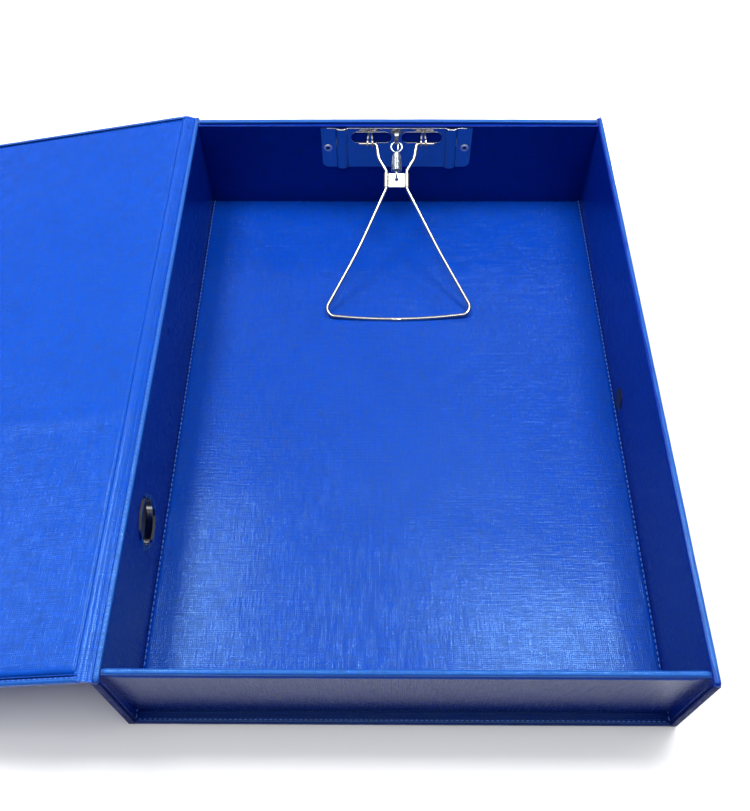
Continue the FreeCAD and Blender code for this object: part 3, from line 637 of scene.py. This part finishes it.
def side_wall_cap(name, panel):
    """The lighter fold of cover vinyl along a side wall's top, a little proud of both faces."""
    half, deep, rise = HALF_Y + SKIN + 0.1 * MM, WALL / 2, 1.05 * MM
    sections = []
    for u in stations(half, 120):
        close = closing(u, half - 1.6 * MM, half + 0.2 * MM)
        wave = 0.08 * MM * swell(Vector((u, 0, 0)), 11 * MM, 6)
        height = WALL_TOP - 0.85 * MM - 0.9 * MM * (1 - close)
        sections.append([(u, height + (rise + wave) * close * squarish(sine, 0.8),
                          WALL / 2 - 0.3 * MM + (deep + wave) * math.sqrt(close)
                          * squarish(cosine, 0.7)) for cosine, sine in turns_of(16)])
    cap = lofted(name, panel, sections)
    finished(cap, WELT, "tray", "pvc_cover")
    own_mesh(cap)


def end_wall_skin(name, panel, height, vinyl_used, *nodes):
    """An end wall's vinyl, fitted between the side walls."""
    span = (-INSIDE_X - 0.1 * MM, INSIDE_X + 0.1 * MM, 0, height + 0.05 * MM)
    rim = rounded_rim(-0.1 * MM, WALL + 0.05 * MM, 0.3 * MM)
    skin = slab(name, panel, span, [0.4 * MM] * 4, rim)
    finished(skin, vinyl_used, "tray", "pvc_lining", *nodes)


def end_wall_roll(name, panel, middle, half_size, bow=0.0):
    """The vinyl rolled over an end wall's top: a soft round band whose ends close down.

    Middle is its section's centre over the panel's foot, as (height, w), half_size is its half height
    and half depth, and bow is how far its middle stands outward of its ends."""
    half = INSIDE_X - 0.3 * MM
    (middle_v, middle_w), (rise, deep) = middle, half_size
    sections = []
    for u in stations(half, 90):
        close = closing(u, half - 1.8 * MM, half + 0.4 * MM)
        wave = 0.10 * MM * swell(Vector((u, 0, 0)), 14 * MM, middle_w * 100)
        out = bow * (1 - (u / half) ** 2)
        sections.append([(u, middle_v + (rise + wave) * close * squarish(sine, 0.75),
                          middle_w - out + (deep + wave) * close * squarish(cosine, 0.75))
                         for cosine, sine in turns_of(20)])
    roll = lofted(name, panel, sections)
    finished(roll, WELT, "tray", "pvc_cover")
    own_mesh(roll)


def front_lip():
    """The cover's turned-in edge under the front wall's roll, drawn in a darker copy of the roll's
    vinyl: painted shade on the roll's underside.
    """
    spots = [FRONT.point(side * (INSIDE_X - 1.2 * MM), END_TOP - FLOOR_TOP - 1.05 * MM, 0.35 * MM)
             for side in (1, -1)]
    steps = 40
    points = [spots[0].lerp(spots[1], step / steps) for step in range(steps + 1)]
    lip = tube("front_wall_lip", points, 0.95 * MM, 10)
    finished(lip, SHADED_LIP, "tray", "pvc_cover")


def side_wall_ends():
    """Each end of each side wall: its panel, its name, and which way along the panel it lies."""
    for panel, word in ((LEFT, "left"), (RIGHT, "right")):
        for end in (-1, 1):
            yield panel, word, "front" if end * panel.u.y < 0 else "back", end


def wall_ends():
    """The folded ends of the side walls' wrap, past the front and back walls, in the near-black vinyl
    with little shine: painted shade on these end faces.
    """
    near, far = HALF_Y - 0.9 * MM, HALF_Y + SKIN + 0.12 * MM
    rim = rounded_rim(-0.32 * MM, WALL + 0.24 * MM, 0.5 * MM)
    for panel, word, place, end in side_wall_ends():
        span = (near, far) if end > 0 else (-far, -near)
        fold = slab(f"{word}_wall_{place}_end", panel, span + (0.9 * MM, WALL_TOP - 1.4 * MM),
                    [0.5 * MM] * 4, rim)
        finished(fold, PAINTED_SHADE_GUTTER, "tray", "pvc_cover")


def ledge_ridges(name, side):
    """Three fine welded ridges along the base where it runs out past an end wall."""
    foot = FRONT_FOOT if side < 0 else BACK_OUT
    half, steps = HALF_X - 4.0 * MM, 60
    section = ((-0.32, 0.0), (-0.16, 0.16), (0.0, 0.22), (0.16, 0.16), (0.32, 0.0))
    width = len(section)
    spots, faces = [], []
    for ridge in range(3):
        middle = foot + side * (0.9 + 1.05 * ridge) * MM
        base = len(spots)
        for step in range(steps + 1):
            u = -half + 2 * half * step / steps
            shift = 0.12 * MM * swell(Vector((u, ridge, 0)), 30 * MM)
            spots += [(u, middle + shift + y * MM, FLOOR_TOP - 0.05 * MM + z * MM)
                      for y, z in section]
        for step in range(steps):
            for k in range(width - 1):
                a = base + step * width + k
                faces.append((a, a + width, a + width + 1, a + 1))
    finished(new_mesh(name, BASE, spots, faces), SHADED_COVER, "tray", "pvc_cover")


def wall_end_welds():
    """The pressed line near each side wall's ends, where lining and cover are welded together."""
    for panel, word, place, end in side_wall_ends():
        u = end * (HALF_Y - 1.6 * MM)
        points = [panel.point(u + 0.25 * MM * swell(Vector((height, u * 10, 0)), 2.0), height * MM,
                              WALL + 0.07 * MM) for height in range(3, 61, 3)]
        weld = tube(f"{word}_wall_weld_{place}", points, 0.22 * MM, 8)
        finished(weld, SHADED_COVER, "tray", "pvc_lining")


def floor_gutters():
    """The deep weld line where each side wall's lining meets the floor's, as a near-black tube: painted
    shade in the corner.
    """
    steps = 80
    for side, word in ((-1, "left"), (1, "right")):
        points = []
        for step in range(steps + 1):
            y = FRONT_FOOT + (BACK_IN - FRONT_FOOT) * step / steps
            z = FLOOR_TOP + 0.42 * MM + 0.08 * MM * swell(Vector((y, 0, 0)), 0.02)
            points.append(Vector((side * (INSIDE_X + 0.05 * MM), y, z)))
        finished(tube(f"{word}_floor_gutter", points, 0.55 * MM, 8), PAINTED_SHADE_GUTTER, "tray", "pvc_lining")


def tray_seams():
    """The sewing along the floor's two sides, and along the ledges outside the end walls."""
    up = Vector(UPRIGHT)
    for side, word in ((-1, "left"), (1, "right")):
        x = side * (INSIDE_X - 0.75 * MM)
        z = FLOOR_TOP + 0.98 * MM
        seam(f"{word}_floor_seam", Vector((x, -HALF_Y + 1.0 * MM, z)),
             Vector((x, HALF_Y - 1.0 * MM, z)), Vector((-side, 0, 1)), 3.0 * MM, 2.1 * MM,
             0.36 * MM, "tray")
    for side, word in ((-1, "front"), (1, "back")):
        y = side * (HALF_Y - 1.25 * MM)
        seam(f"{word}_ledge_seam", Vector((-HALF_X + 4 * MM, y, FLOOR_TOP + 0.1 * MM)),
             Vector((HALF_X - 4 * MM, y, FLOOR_TOP + 0.1 * MM)), up, 2.3 * MM, 1.5 * MM,
             0.22 * MM, "tray")


def corner_pinch():
    """The tip of vinyl that stands up where the right wall's wrap is folded at the back corner."""
    foot = Vector((HALF_X - 1.3 * MM, HALF_Y - 1.8 * MM, WALL_TOP - 0.6 * MM))
    tip = foot + Vector((0.2, 0.9, 1.9)) * MM
    pinch = tube("back_corner_pinch", [foot, foot.lerp(tip, 0.5), tip],
                 lambda t: (1.1 - 0.85 * t) * MM, 8, 0.9)
    finished(pinch, LINING, "tray", "pvc_lining")
    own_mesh(pinch)


def tray():
    base_skin()
    floor_lining()
    grip = (RING.y, RING.z, RING_HOLE)
    side_wall_skin("left_wall_skin", LEFT, [grip], "left_wall_cover", "left_wall_lining")
    side_wall_skin("right_wall_skin", RIGHT, (), "right_wall_cover", "right_wall_lining")
    height = END_TOP - FLOOR_TOP
    # The front wall's skin takes the dark cover copy and the back wall's the darker wall copy: both
    # painted shade.
    end_wall_skin("front_wall_skin", FRONT, height, SHADED_COVER, "front_wall_cover")
    end_wall_skin("back_wall_skin", BACK, height, SHADED_WALL_LINING, "back_wall_cover")
    end_wall_roll("front_wall_roll", FRONT, (height - 0.35 * MM, WALL / 2 + 0.4 * MM),
                  (0.95 * MM, 1.2 * MM))
    front_lip()
    end_wall_roll("back_wall_roll", BACK, (height + 0.85 * MM, WALL / 2 - 1.3 * MM),
                  (1.0 * MM, 1.35 * MM), 0.7 * MM)
    wall_ends()
    side_wall_cap("right_wall_cap", RIGHT)
    ledge_ridges("front_ledge_ridges", -1)
    ledge_ridges("back_ledge_ridges", 1)
    wall_end_welds()
    floor_gutters()
    tray_seams()
    corner_pinch()


# ---------------------------------------------------------------- lid and flap

LID = folded_panel("lid_board", JOINTS["lid_fold_upper"])
FLAP = folded_panel("flap_board", JOINTS["flap_fold_lower"])
LID_FAR = (JOINTS["flap_fold_upper"] - JOINTS["lid_fold_upper"]).length
FLAP_FAR = max((v.co - FLAP.origin).dot(FLAP.u) for v in frame["nodes"]["flap_board"].data.vertices)
LID_END = LID_FAR - 0.4 * MM
FLAP_END = FLAP_FAR + 0.6 * MM
PANEL_IN = 2.6 * MM       # a folded panel's inner face, over its crease
LINING_LEVEL = PANEL_IN + 0.35 * MM
LINING_NEAR = 2.8 * MM    # a lining starts this far from its panel's crease
LINING_SHORT = 1.6 * MM   # and stops this far from its far edge
LINING_ASIDE = 3.0 * MM   # and this far from its front and back
LID_CREASE_V = 47 * MM    # the faint fold across the lid, toward the front
ROLL = 1.18 * MM          # radius of the rolled edge along a panel's front and back
SOCKET_HOLE = 4.15 * MM   # radius of the hole for the press stud's socket


def socket_hole():
    """The hole in the flap's lining for the press stud's socket, as (u, v, radius)."""
    low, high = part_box("snap_socket")
    middle = (low + high) / 2 - FLAP.origin
    return middle.dot(FLAP.u), middle.dot(FLAP.v), SOCKET_HOLE


def panel_skin(body, panel, far, holes, *nodes):
    """A folded panel's cover: it wraps the board, with a round edge all the way round."""
    span = (0.5 * MM, far, -HALF_Y - SKIN, HALF_Y + SKIN)
    rim = rounded_rim(-0.3 * MM, PANEL_IN - 0.3 * MM, 1.15 * MM)
    skin = slab(f"{body}_skin", panel, span, [SQUARE_CORNER] * 4, rim, holes)
    finished(skin, LINING, body, "pvc_cover", *nodes)


def lid_height(u, v):
    """The lid lining's level: a low crease from edge to hinge, and puckers along the hinge."""
    spot = Vector((u, v, 0))
    free = eased(min(u, LID_FAR - u, HALF_Y - abs(v)), 0, 12 * MM)
    level = 0.22 * swell(spot, 74 * MM, 2) + 0.05 * swell(spot, 24 * MM, 4)
    fold = v - LID_CREASE_V + 0.05 * u - 3 * MM * swell(Vector((u, 0, 0)), 60 * MM)
    level += 0.30 * math.exp(-(fold / (5 * MM)) ** 2)
    near_front = eased(v, HALF_Y - 95 * MM, HALF_Y - 10 * MM)
    for pucker in range(3):
        bend = 2.5 * MM + pucker * 3.6 * MM + 5 * MM * eased(HALF_Y - v, 0, (60 + 25 * pucker) * MM)
        ridge = math.exp(-((u - bend) / (1.3 * MM)) ** 2)
        level += 0.38 * near_front * ridge * (0.75 + 0.5 * swell(spot, 16 * MM, pucker))
    return LINING_LEVEL + free * level * MM


def edged(height, far, inner):
    """A lining's level with its rim pressed down: the free edges sink to the weld line."""
    def level(u, v):
        from_edge = min(far - u, inner - abs(v))
        return height(u, v) - 0.55 * MM * (1 - eased(from_edge, 0, 1.6 * MM))
    return level


def lid_lining():
    inner = HALF_Y - LINING_ASIDE
    span = (LINING_NEAR, LID_FAR - LINING_SHORT, -inner, inner)
    lining = sheet("lid_lining_sheet", LID, span, 1.9 * MM, edged(lid_height, span[1], inner),
                   0.3 * MM)
    finished(lining, LINING, "lid", "pvc_lining", "lid_lining")


def flap_height(u, v):
    """The flap lining's level: all but flat."""
    spot = Vector((u, v, 0))
    free = eased(min(u, FLAP_FAR - u, HALF_Y - abs(v)), 0, 12 * MM)
    return PANEL_IN + 0.05 * MM + free * 0.14 * MM * swell(spot, 45 * MM, 7)


def flap_lining():
    inner = HALF_Y - LINING_ASIDE
    span = (LINING_NEAR, FLAP_FAR - LINING_SHORT, -inner, inner)
    lining = sheet("flap_lining_sheet", FLAP, span, 1.3 * MM, edged(flap_height, span[1], inner),
                   0.3 * MM, socket_hole())
    finished(lining, LINING, "flap", "pvc_lining", "flap_lining")


def edge_rolls(body, panel, far):
    """The cover's round rolled edge along a panel's front and back, and the groove inside it as a
    near-black tube: painted shade in the groove.
    """
    crown = PANEL_IN + (0.35 if panel is LID else 0.08) * MM
    steps = 100
    for side, place in ((1, "front"), (-1, "back")):
        points = []
        for step in range(steps + 1):
            u = 1.2 * MM + (far - 2.0 * MM) * step / steps
            w = crown - ROLL + 0.08 * MM * swell(Vector((u, 0, 0)), 12 * MM)
            points.append(panel.point(u, side * (HALF_Y - 0.75 * MM), w))
        roll = tube(f"{body}_{place}_roll", points, ROLL, 14)
        finished(roll, WELT, body, "pvc_cover")
        points = [panel.point(u, side * (HALF_Y - 2.35 * MM), PANEL_IN + 0.02 * MM)
                  for u in (2.0 * MM, far / 2, far - 2.0 * MM)]
        groove = tube(f"{body}_{place}_groove", points, 0.42 * MM, 8)
        finished(groove, PAINTED_SHADE_GUTTER, body, "pvc_cover")


def panel_seams(body, panel, far):
    """Stitching along a panel's front and back, and the flap's tip, just inside the round edge."""
    level, edge = PANEL_IN + (0.12 if panel is LID else -0.2) * MM, HALF_Y - 1.5 * MM
    pitch, length, radius = 2.3 * MM, 1.5 * MM, 0.2 * MM
    for side, place in ((1, "front"), (-1, "back")):
        seam(f"{body}_{place}_seam", panel.point(3 * MM, side * edge, level),
             panel.point(far - 3 * MM, side * edge, level), panel.w, pitch, length, radius, body)
    if panel is FLAP:
        tip = far - 0.9 * MM
        seam(f"{body}_tip_seam", panel.point(tip, -edge + 2 * MM, level),
             panel.point(tip, edge - 2 * MM, level), panel.w, pitch, length, radius, body)


# ---------------------------------------------------------------- folds

def fold_strip(name, outline_xz, bodies, crease, reach, *nodes):
    """A sheet along the box, lofted straight from a closed outline of its section; the crease is not
    used.
    """
    rows = 120
    sections = []
    for row in range(rows + 1):
        y = -HALF_Y + 2 * HALF_Y * row / rows
        sections.append([(x, y, z + 0.10 * MM * swell(Vector((x, y, z)), 9 * MM, 1))
                         for x, z in outline_xz])
    strip = lofted(name, BASE, sections)
    keep_flats_flat(strip, 50)
    finished(strip, LINING, None, "pvc_hinge", *nodes)
    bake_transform(strip)


def across(start, end, offsets, normal):
    """An outline from start to end, as (x, z): each offset is a share of the way and a height in mm."""
    spots = []
    for share, height in offsets:
        spot = start.lerp(end, share) + normal * height * MM
        spots.append((spot.x, spot.z))
    return spots


def lid_folds():
    """The two halves of the lid's hinge: a groove by the wall, then a soft roll up onto the lid."""
    near, far = JOINTS["lid_fold_lower"], JOINTS["lid_fold_upper"]
    strip = (far - near).normalized()
    normal = Vector((strip.z, 0, -strip.x))
    middle = near.lerp(far, 0.5)
    wall_side = near - strip * 0.5 * MM
    low = across(wall_side, middle, ((0, -0.35), (1, -0.35), (1, 1.0), (0.82, 0.9), (0.62, 0.65),
                                     (0.5, 0.45), (0.42, 0.25), (0.25, 0.1), (0, 0.1)), normal)
    fold_strip("lid_fold_wall_side", low, ("tray", "lid_hinge"), near, strip * 0.6 * MM,
               "lid_hinge_strip")
    lid_side = far + LID.u * 3.4 * MM
    high = across(middle, lid_side, ((1, -0.35), (0.35, -0.35), (0, -0.35), (0, 1.0), (0.15, 1.6),
                                     (0.35, 2.2), (0.6, 2.55), (0.8, 2.68), (1, 2.68)), normal)
    fold_strip("lid_fold_lid_side", high, ("lid_hinge", "lid"), far, LID.u * 1.4 * MM)


def flap_folds():
    """The flap's hinge: a plain soft channel between the lid's edge and the flap."""
    near, far = JOINTS["flap_fold_upper"], JOINTS["flap_fold_lower"]
    strip = (far - near).normalized()
    normal = Vector((strip.z, 0, -strip.x))
    middle = near.lerp(far, 0.5)
    lid_side, flap_side = near - LID.u * 2.6 * MM, far + FLAP.u * 3.4 * MM
    low = across(lid_side, middle, ((0, -0.35), (1, -0.35), (1, 0.35), (0.7, 0.4), (0.55, 1.1),
                                    (0.35, 2.3), (0, 2.7)), normal)
    fold_strip("flap_fold_lid_side", low, ("lid", "flap_hinge"), near, strip * 1.2 * MM,
               "flap_hinge_strip")
    high = across(middle, flap_side, ((0, 0.35), (0, -0.35), (1, -0.35), (1, 2.7), (0.65, 2.3),
                                      (0.5, 1.1), (0.3, 0.4)), normal)
    fold_strip("flap_fold_flap_side", high, ("flap_hinge", "flap"), far, FLAP.u * 1.2 * MM)


def hinge_welt():
    """The padded welt on the left wall's top that hides the hinge's root, sewn down its middle."""
    inner, outer = -INSIDE_X + 0.15 * MM, JOINTS["lid_fold_lower"].x + 0.1 * MM
    middle, half = (inner + outer) / 2, (inner - outer) / 2
    sections = []
    for y in stations(HALF_Y, 150):
        close = closing(y, HALF_Y - 1.5 * MM, HALF_Y + 0.4 * MM, 0.03)
        wave = 0.08 * MM * swell(Vector((0, y, 0)), 7 * MM)
        section = []
        for cosine, sine in turns_of(16):
            thick = 1.25 * MM if sine > 0 else 0.8 * MM
            dip = 0.25 * MM * math.exp(-(cosine / 0.3) ** 2) if sine > 0 else 0
            section.append((middle + half * close * squarish(cosine, 0.8), y,
                            END_TOP + thick * close * squarish(sine, 0.8) - dip + wave + 0.1 * MM))
        sections.append(section)
    welt = lofted("hinge_welt", BASE, sections)
    finished(welt, WELT, "tray", "pvc_hinge")
    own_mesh(welt)
    stitches = seam("hinge_welt_seam", Vector((middle, -HALF_Y + 2 * MM, END_TOP + 1.15 * MM)),
                    Vector((middle, HALF_Y - 2 * MM, END_TOP + 1.15 * MM)), Vector(UPRIGHT),
                    2.4 * MM, 1.6 * MM, 0.24 * MM, "tray")
    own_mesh(stitches)


def lid_and_flap():
    panel_skin("lid", LID, LID_END, (), "lid_cover")
    panel_skin("flap", FLAP, FLAP_END, [socket_hole()], "flap_cover")
    lid_lining()
    flap_lining()
    panels = (("lid", LID, LID_END), ("flap", FLAP, FLAP_END))
    for folded in panels:
        edge_rolls(*folded)
    for folded in panels:
        panel_seams(*folded)
    lid_folds()
    flap_folds()
    hinge_welt()


# ---------------------------------------------------------------- the clip

ANCHOR = JOINTS["spring_swivel"]
PIVOT = JOINTS["bail_hinge"]
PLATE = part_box("clip_base_plate")
PLATE_CENTRE = (PLATE[0].x + PLATE[1].x) / 2
PLATE_FACE = PIVOT.y + 6.1 * MM
SLOT_ASIDE = 15.5 * MM    # a slot's middle, from the plate's
SLOT_STRAIGHT = 8.6 * MM  # half of a slot's straight stretch
SLOT_ROUND = 4.05 * MM
RIB_ASIDE = 33.9 * MM     # a rib's middle, from the plate's
RIB_DEPTH = 1.8 * MM
CRIMP_HOLE = 22.4 * MM    # the crimp plate's hole for the spring, from the pivot


def bail_direction():
    """The way from the pivot down the bail, at rest."""
    crimp = (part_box("crimp_plate")[0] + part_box("crimp_plate")[1]) / 2
    return Vector((0, crimp.y - PIVOT.y, crimp.z - PIVOT.z)).normalized()


def clip_spring():
    """The tapered extension spring: loop on the plate's hook, close coils, and a hook at the crimp."""
    hole = PIVOT + bail_direction() * CRIMP_HOLE
    along = (hole - ANCHOR).normalized()
    sideways = Vector((1, 0, 0))
    over = sideways.cross(along)
    wire, loop, hook = 0.5 * MM, 3.3 * MM, 2.3 * MM
    coil_start, coil_end = 6.9 * MM, (hole - ANCHOR).length - 5.6 * MM
    turns, loop_steps, hook_steps = 11, 36, 28
    coil_steps = turns * 20
    points = []
    for step in range(loop_steps + 1):
        a = math.tau * (0.25 + step / loop_steps * 0.97)
        points.append(ANCHOR + along * (loop + 0.2 * MM - loop * math.sin(a))
                      + sideways * loop * math.cos(a))
    for step in range(coil_steps + 1):
        t = step / coil_steps
        radius = (1.0 + 1.75 * eased(t, 0, 0.22) + 0.35 * t) * MM
        a = math.tau * turns * t
        points.append(ANCHOR + along * (coil_start + (coil_end - coil_start) * t)
                      + radius * (math.cos(a) * sideways + math.sin(a) * over))
    for step in range(hook_steps + 1):
        a = math.tau * (step / hook_steps * 0.85)
        points.append(ANCHOR + along * (coil_end + hook + 0.4 * MM - hook * math.cos(a))
                      + over * hook * math.sin(a))
    spring = tube("spring_coil", points, wire, 8)
    finished(spring, SPRING_STEEL, "spring", "spring_steel", "clip_spring")
    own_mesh(spring)


def slot_rims():
    """The burr round each of the plate's two slots: a thin round rim in a lighter nickel than the plate,
    a painted highlight on top of the light that it catches.
    """
    steps = 72
    for side, word in ((-1, "left"), (1, "right")):
        middle = Vector((PLATE_CENTRE + side * SLOT_ASIDE, PLATE_FACE, PIVOT.z))
        points = []
        for step in range(steps + 1):
            a = math.tau * step / steps
            end = SLOT_STRAIGHT if math.cos(a) > 0 else -SLOT_STRAIGHT
            points.append(middle + Vector((end + SLOT_ROUND * math.cos(a), 0,
                                           SLOT_ROUND * math.sin(a))))
        rim = tube(f"{word}_slot_rim", points, 0.14 * MM, 8, 1.0)
        finished(rim, METALS["clip_washers"], "tray", "nickel_plate")


def plate_top_edge():
    """The sheared edge along the plate's top, which follows its two ribs: a thin round tube in a lighter
    nickel than the plate, a painted highlight along the edge.
    """
    half, steps = (PLATE[1].x - PLATE[0].x) / 2 - 3.6 * MM, 160
    points = []
    for step in range(steps + 1):
        x = -half + 2 * half * step / steps
        from_rib = abs(abs(x) - RIB_ASIDE)
        proud = RIB_DEPTH * (1 - eased(from_rib, 1.2 * MM, 4.2 * MM))
        points.append(Vector((PLATE_CENTRE + x, PLATE_FACE - proud, PLATE[1].z - 0.05 * MM)))
    edge = tube("plate_top_edge", points, 0.13 * MM, 8)
    finished(edge, METALS["clip_washers"], "tray", "nickel_plate")


def bail_weld():
    """The butt weld in the middle of the bail's far bar: a short swelling of the wire."""
    away = bail_direction()
    reach = PIVOT.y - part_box("bail_wire")[0].y
    far = PIVOT + away * (reach / abs(away.y) - 0.95 * MM)
    points = [far + Vector((x * MM, 0, 0)) for x in (-3.4, -2.4, -1.2, -0.4, 0.4, 1.2, 2.4, 3.4)]
    lump = tube("bail_weld", points,
                lambda t: (1.02 + 0.22 * math.sin(math.pi * t) ** 2) * MM, 14, 0.98)
    finished(lump, METALS["bail_wire"], "bail", "nickel_wire")


# ---------------------------------------------------------------- stage, light and camera

def plain_floor():
    """A plain pale table, wide enough for every view."""
    made, nodes, links, shader = material("pale_table")
    place = nodes.new("ShaderNodeTexCoord").outputs["Object"]
    cloudy = noise_of(nodes, links, place, 2.0, 2.0)
    links.new(blended(nodes, links, cloudy, (0.86, 0.86, 0.87, 1), (0.90, 0.90, 0.905, 1)),
              shader.inputs["Base Color"])
    shader.inputs["Roughness"].default_value = 0.7
    shader.inputs["Specular IOR Level"].default_value = 0.2
    reach, level = 6.0, CAD_BOX[0].z
    mesh = bpy.data.meshes.new("table_top")
    mesh.from_pydata([(-reach, -reach, level), (reach, -reach, level), (reach, reach, level),
                      (-reach, reach, level)], [], [(0, 1, 2, 3)])
    floor = bpy.data.objects.new("table_top", mesh)
    mesh.materials.append(made)
    bpy.context.scene.collection.objects.link(floor)


def soft_light(name, place, size, power, aim=(0, 0, 0)):
    """A white rectangular area light that faces its aim."""
    light = bpy.data.lights.new(name, "AREA")
    light.shape = "RECTANGLE"
    light.size, light.size_y = size
    light.energy = power
    lamp = bpy.data.objects.new(name, light)
    lamp.location = place
    lamp.rotation_euler = (Vector(aim) - Vector(place)).to_track_quat("-Z", "Y").to_euler()
    bpy.context.scene.collection.objects.link(lamp)


def sky():
    """An even pale surround, a little brighter toward the left."""
    world = bpy.data.worlds.new("studio")
    world.use_nodes = True
    bpy.context.scene.world = world
    nodes, links = world.node_tree.nodes, world.node_tree.links
    place = nodes.new("ShaderNodeTexCoord").outputs["Generated"]
    split = nodes.new("ShaderNodeSeparateXYZ")
    links.new(place, split.inputs[0])
    leftward = maths(nodes, links, "MULTIPLY_ADD", split.outputs["X"], -0.08, 0.225)
    background = nodes["Background"]
    background.inputs["Color"].default_value = (0.97, 0.985, 1.0, 1)
    links.new(leftward, background.inputs["Strength"])


def studio():
    plain_floor()
    sky()
    soft_light("left_panel", (-0.48, 0.36, 1.25), (0.32, 0.52), 13.0, (-0.48, 0.36, 0))
    soft_light("right_panel", (0.36, 0.27, 1.25), (0.40, 0.28), 10.0, (0.36, 0.27, 0))
    for side, word in ((-1, "left"), (1, "right")):
        soft_light(f"{word}_bank", (side * 1.4, 0.5, 2.4), (0.8, 2.4), 13.0)
    soft_light("front_bank", (0.0, -0.5, 2.6), (2.6, 1.2), 36.0, (0, -0.4, 0))
    soft_light("back_bank", (0.0, 2.9, 2.2), (3.2, 1.1), 14.0)
    soft_light("left_wall_card", (-2.3, 0.5, 1.3), (1.6, 1.2), 5.0, (-0.25, 0, 0))


def camera():
    """The camera above the front edge, looking down and back."""
    place = Vector((-10.12, -273.89, 410.12)) * MM
    pitch, yaw, roll = (math.radians(angle) for angle in (56.76, -0.689, -0.435))
    ahead = Vector((math.sin(yaw) * math.cos(pitch), math.cos(yaw) * math.cos(pitch),
                    -math.sin(pitch)))
    level = Vector((math.cos(yaw), -math.sin(yaw), 0))
    above = level.cross(ahead)
    right = math.cos(roll) * level + math.sin(roll) * above
    up = math.cos(roll) * above - math.sin(roll) * level
    data = bpy.data.cameras.new("camera")
    data.sensor_width = 36.0
    data.lens = 38.557
    data.shift_y = 0.015
    data.clip_start = 0.01
    data.clip_end = 30.0
    seen = bpy.data.objects.new("camera", data)
    turn = Matrix((right, up, -ahead)).transposed()
    seen.matrix_world = Matrix.Translation(place) @ turn.to_4x4()
    bpy.context.scene.collection.objects.link(seen)
    bpy.context.scene.camera = seen


dress_cad_nodes()
tray()
lid_and_flap()
clip_spring()
bail_weld()
slot_rims()
plate_top_edge()
studio()
camera()
bpy.context.scene.view_settings.view_transform = "Standard"
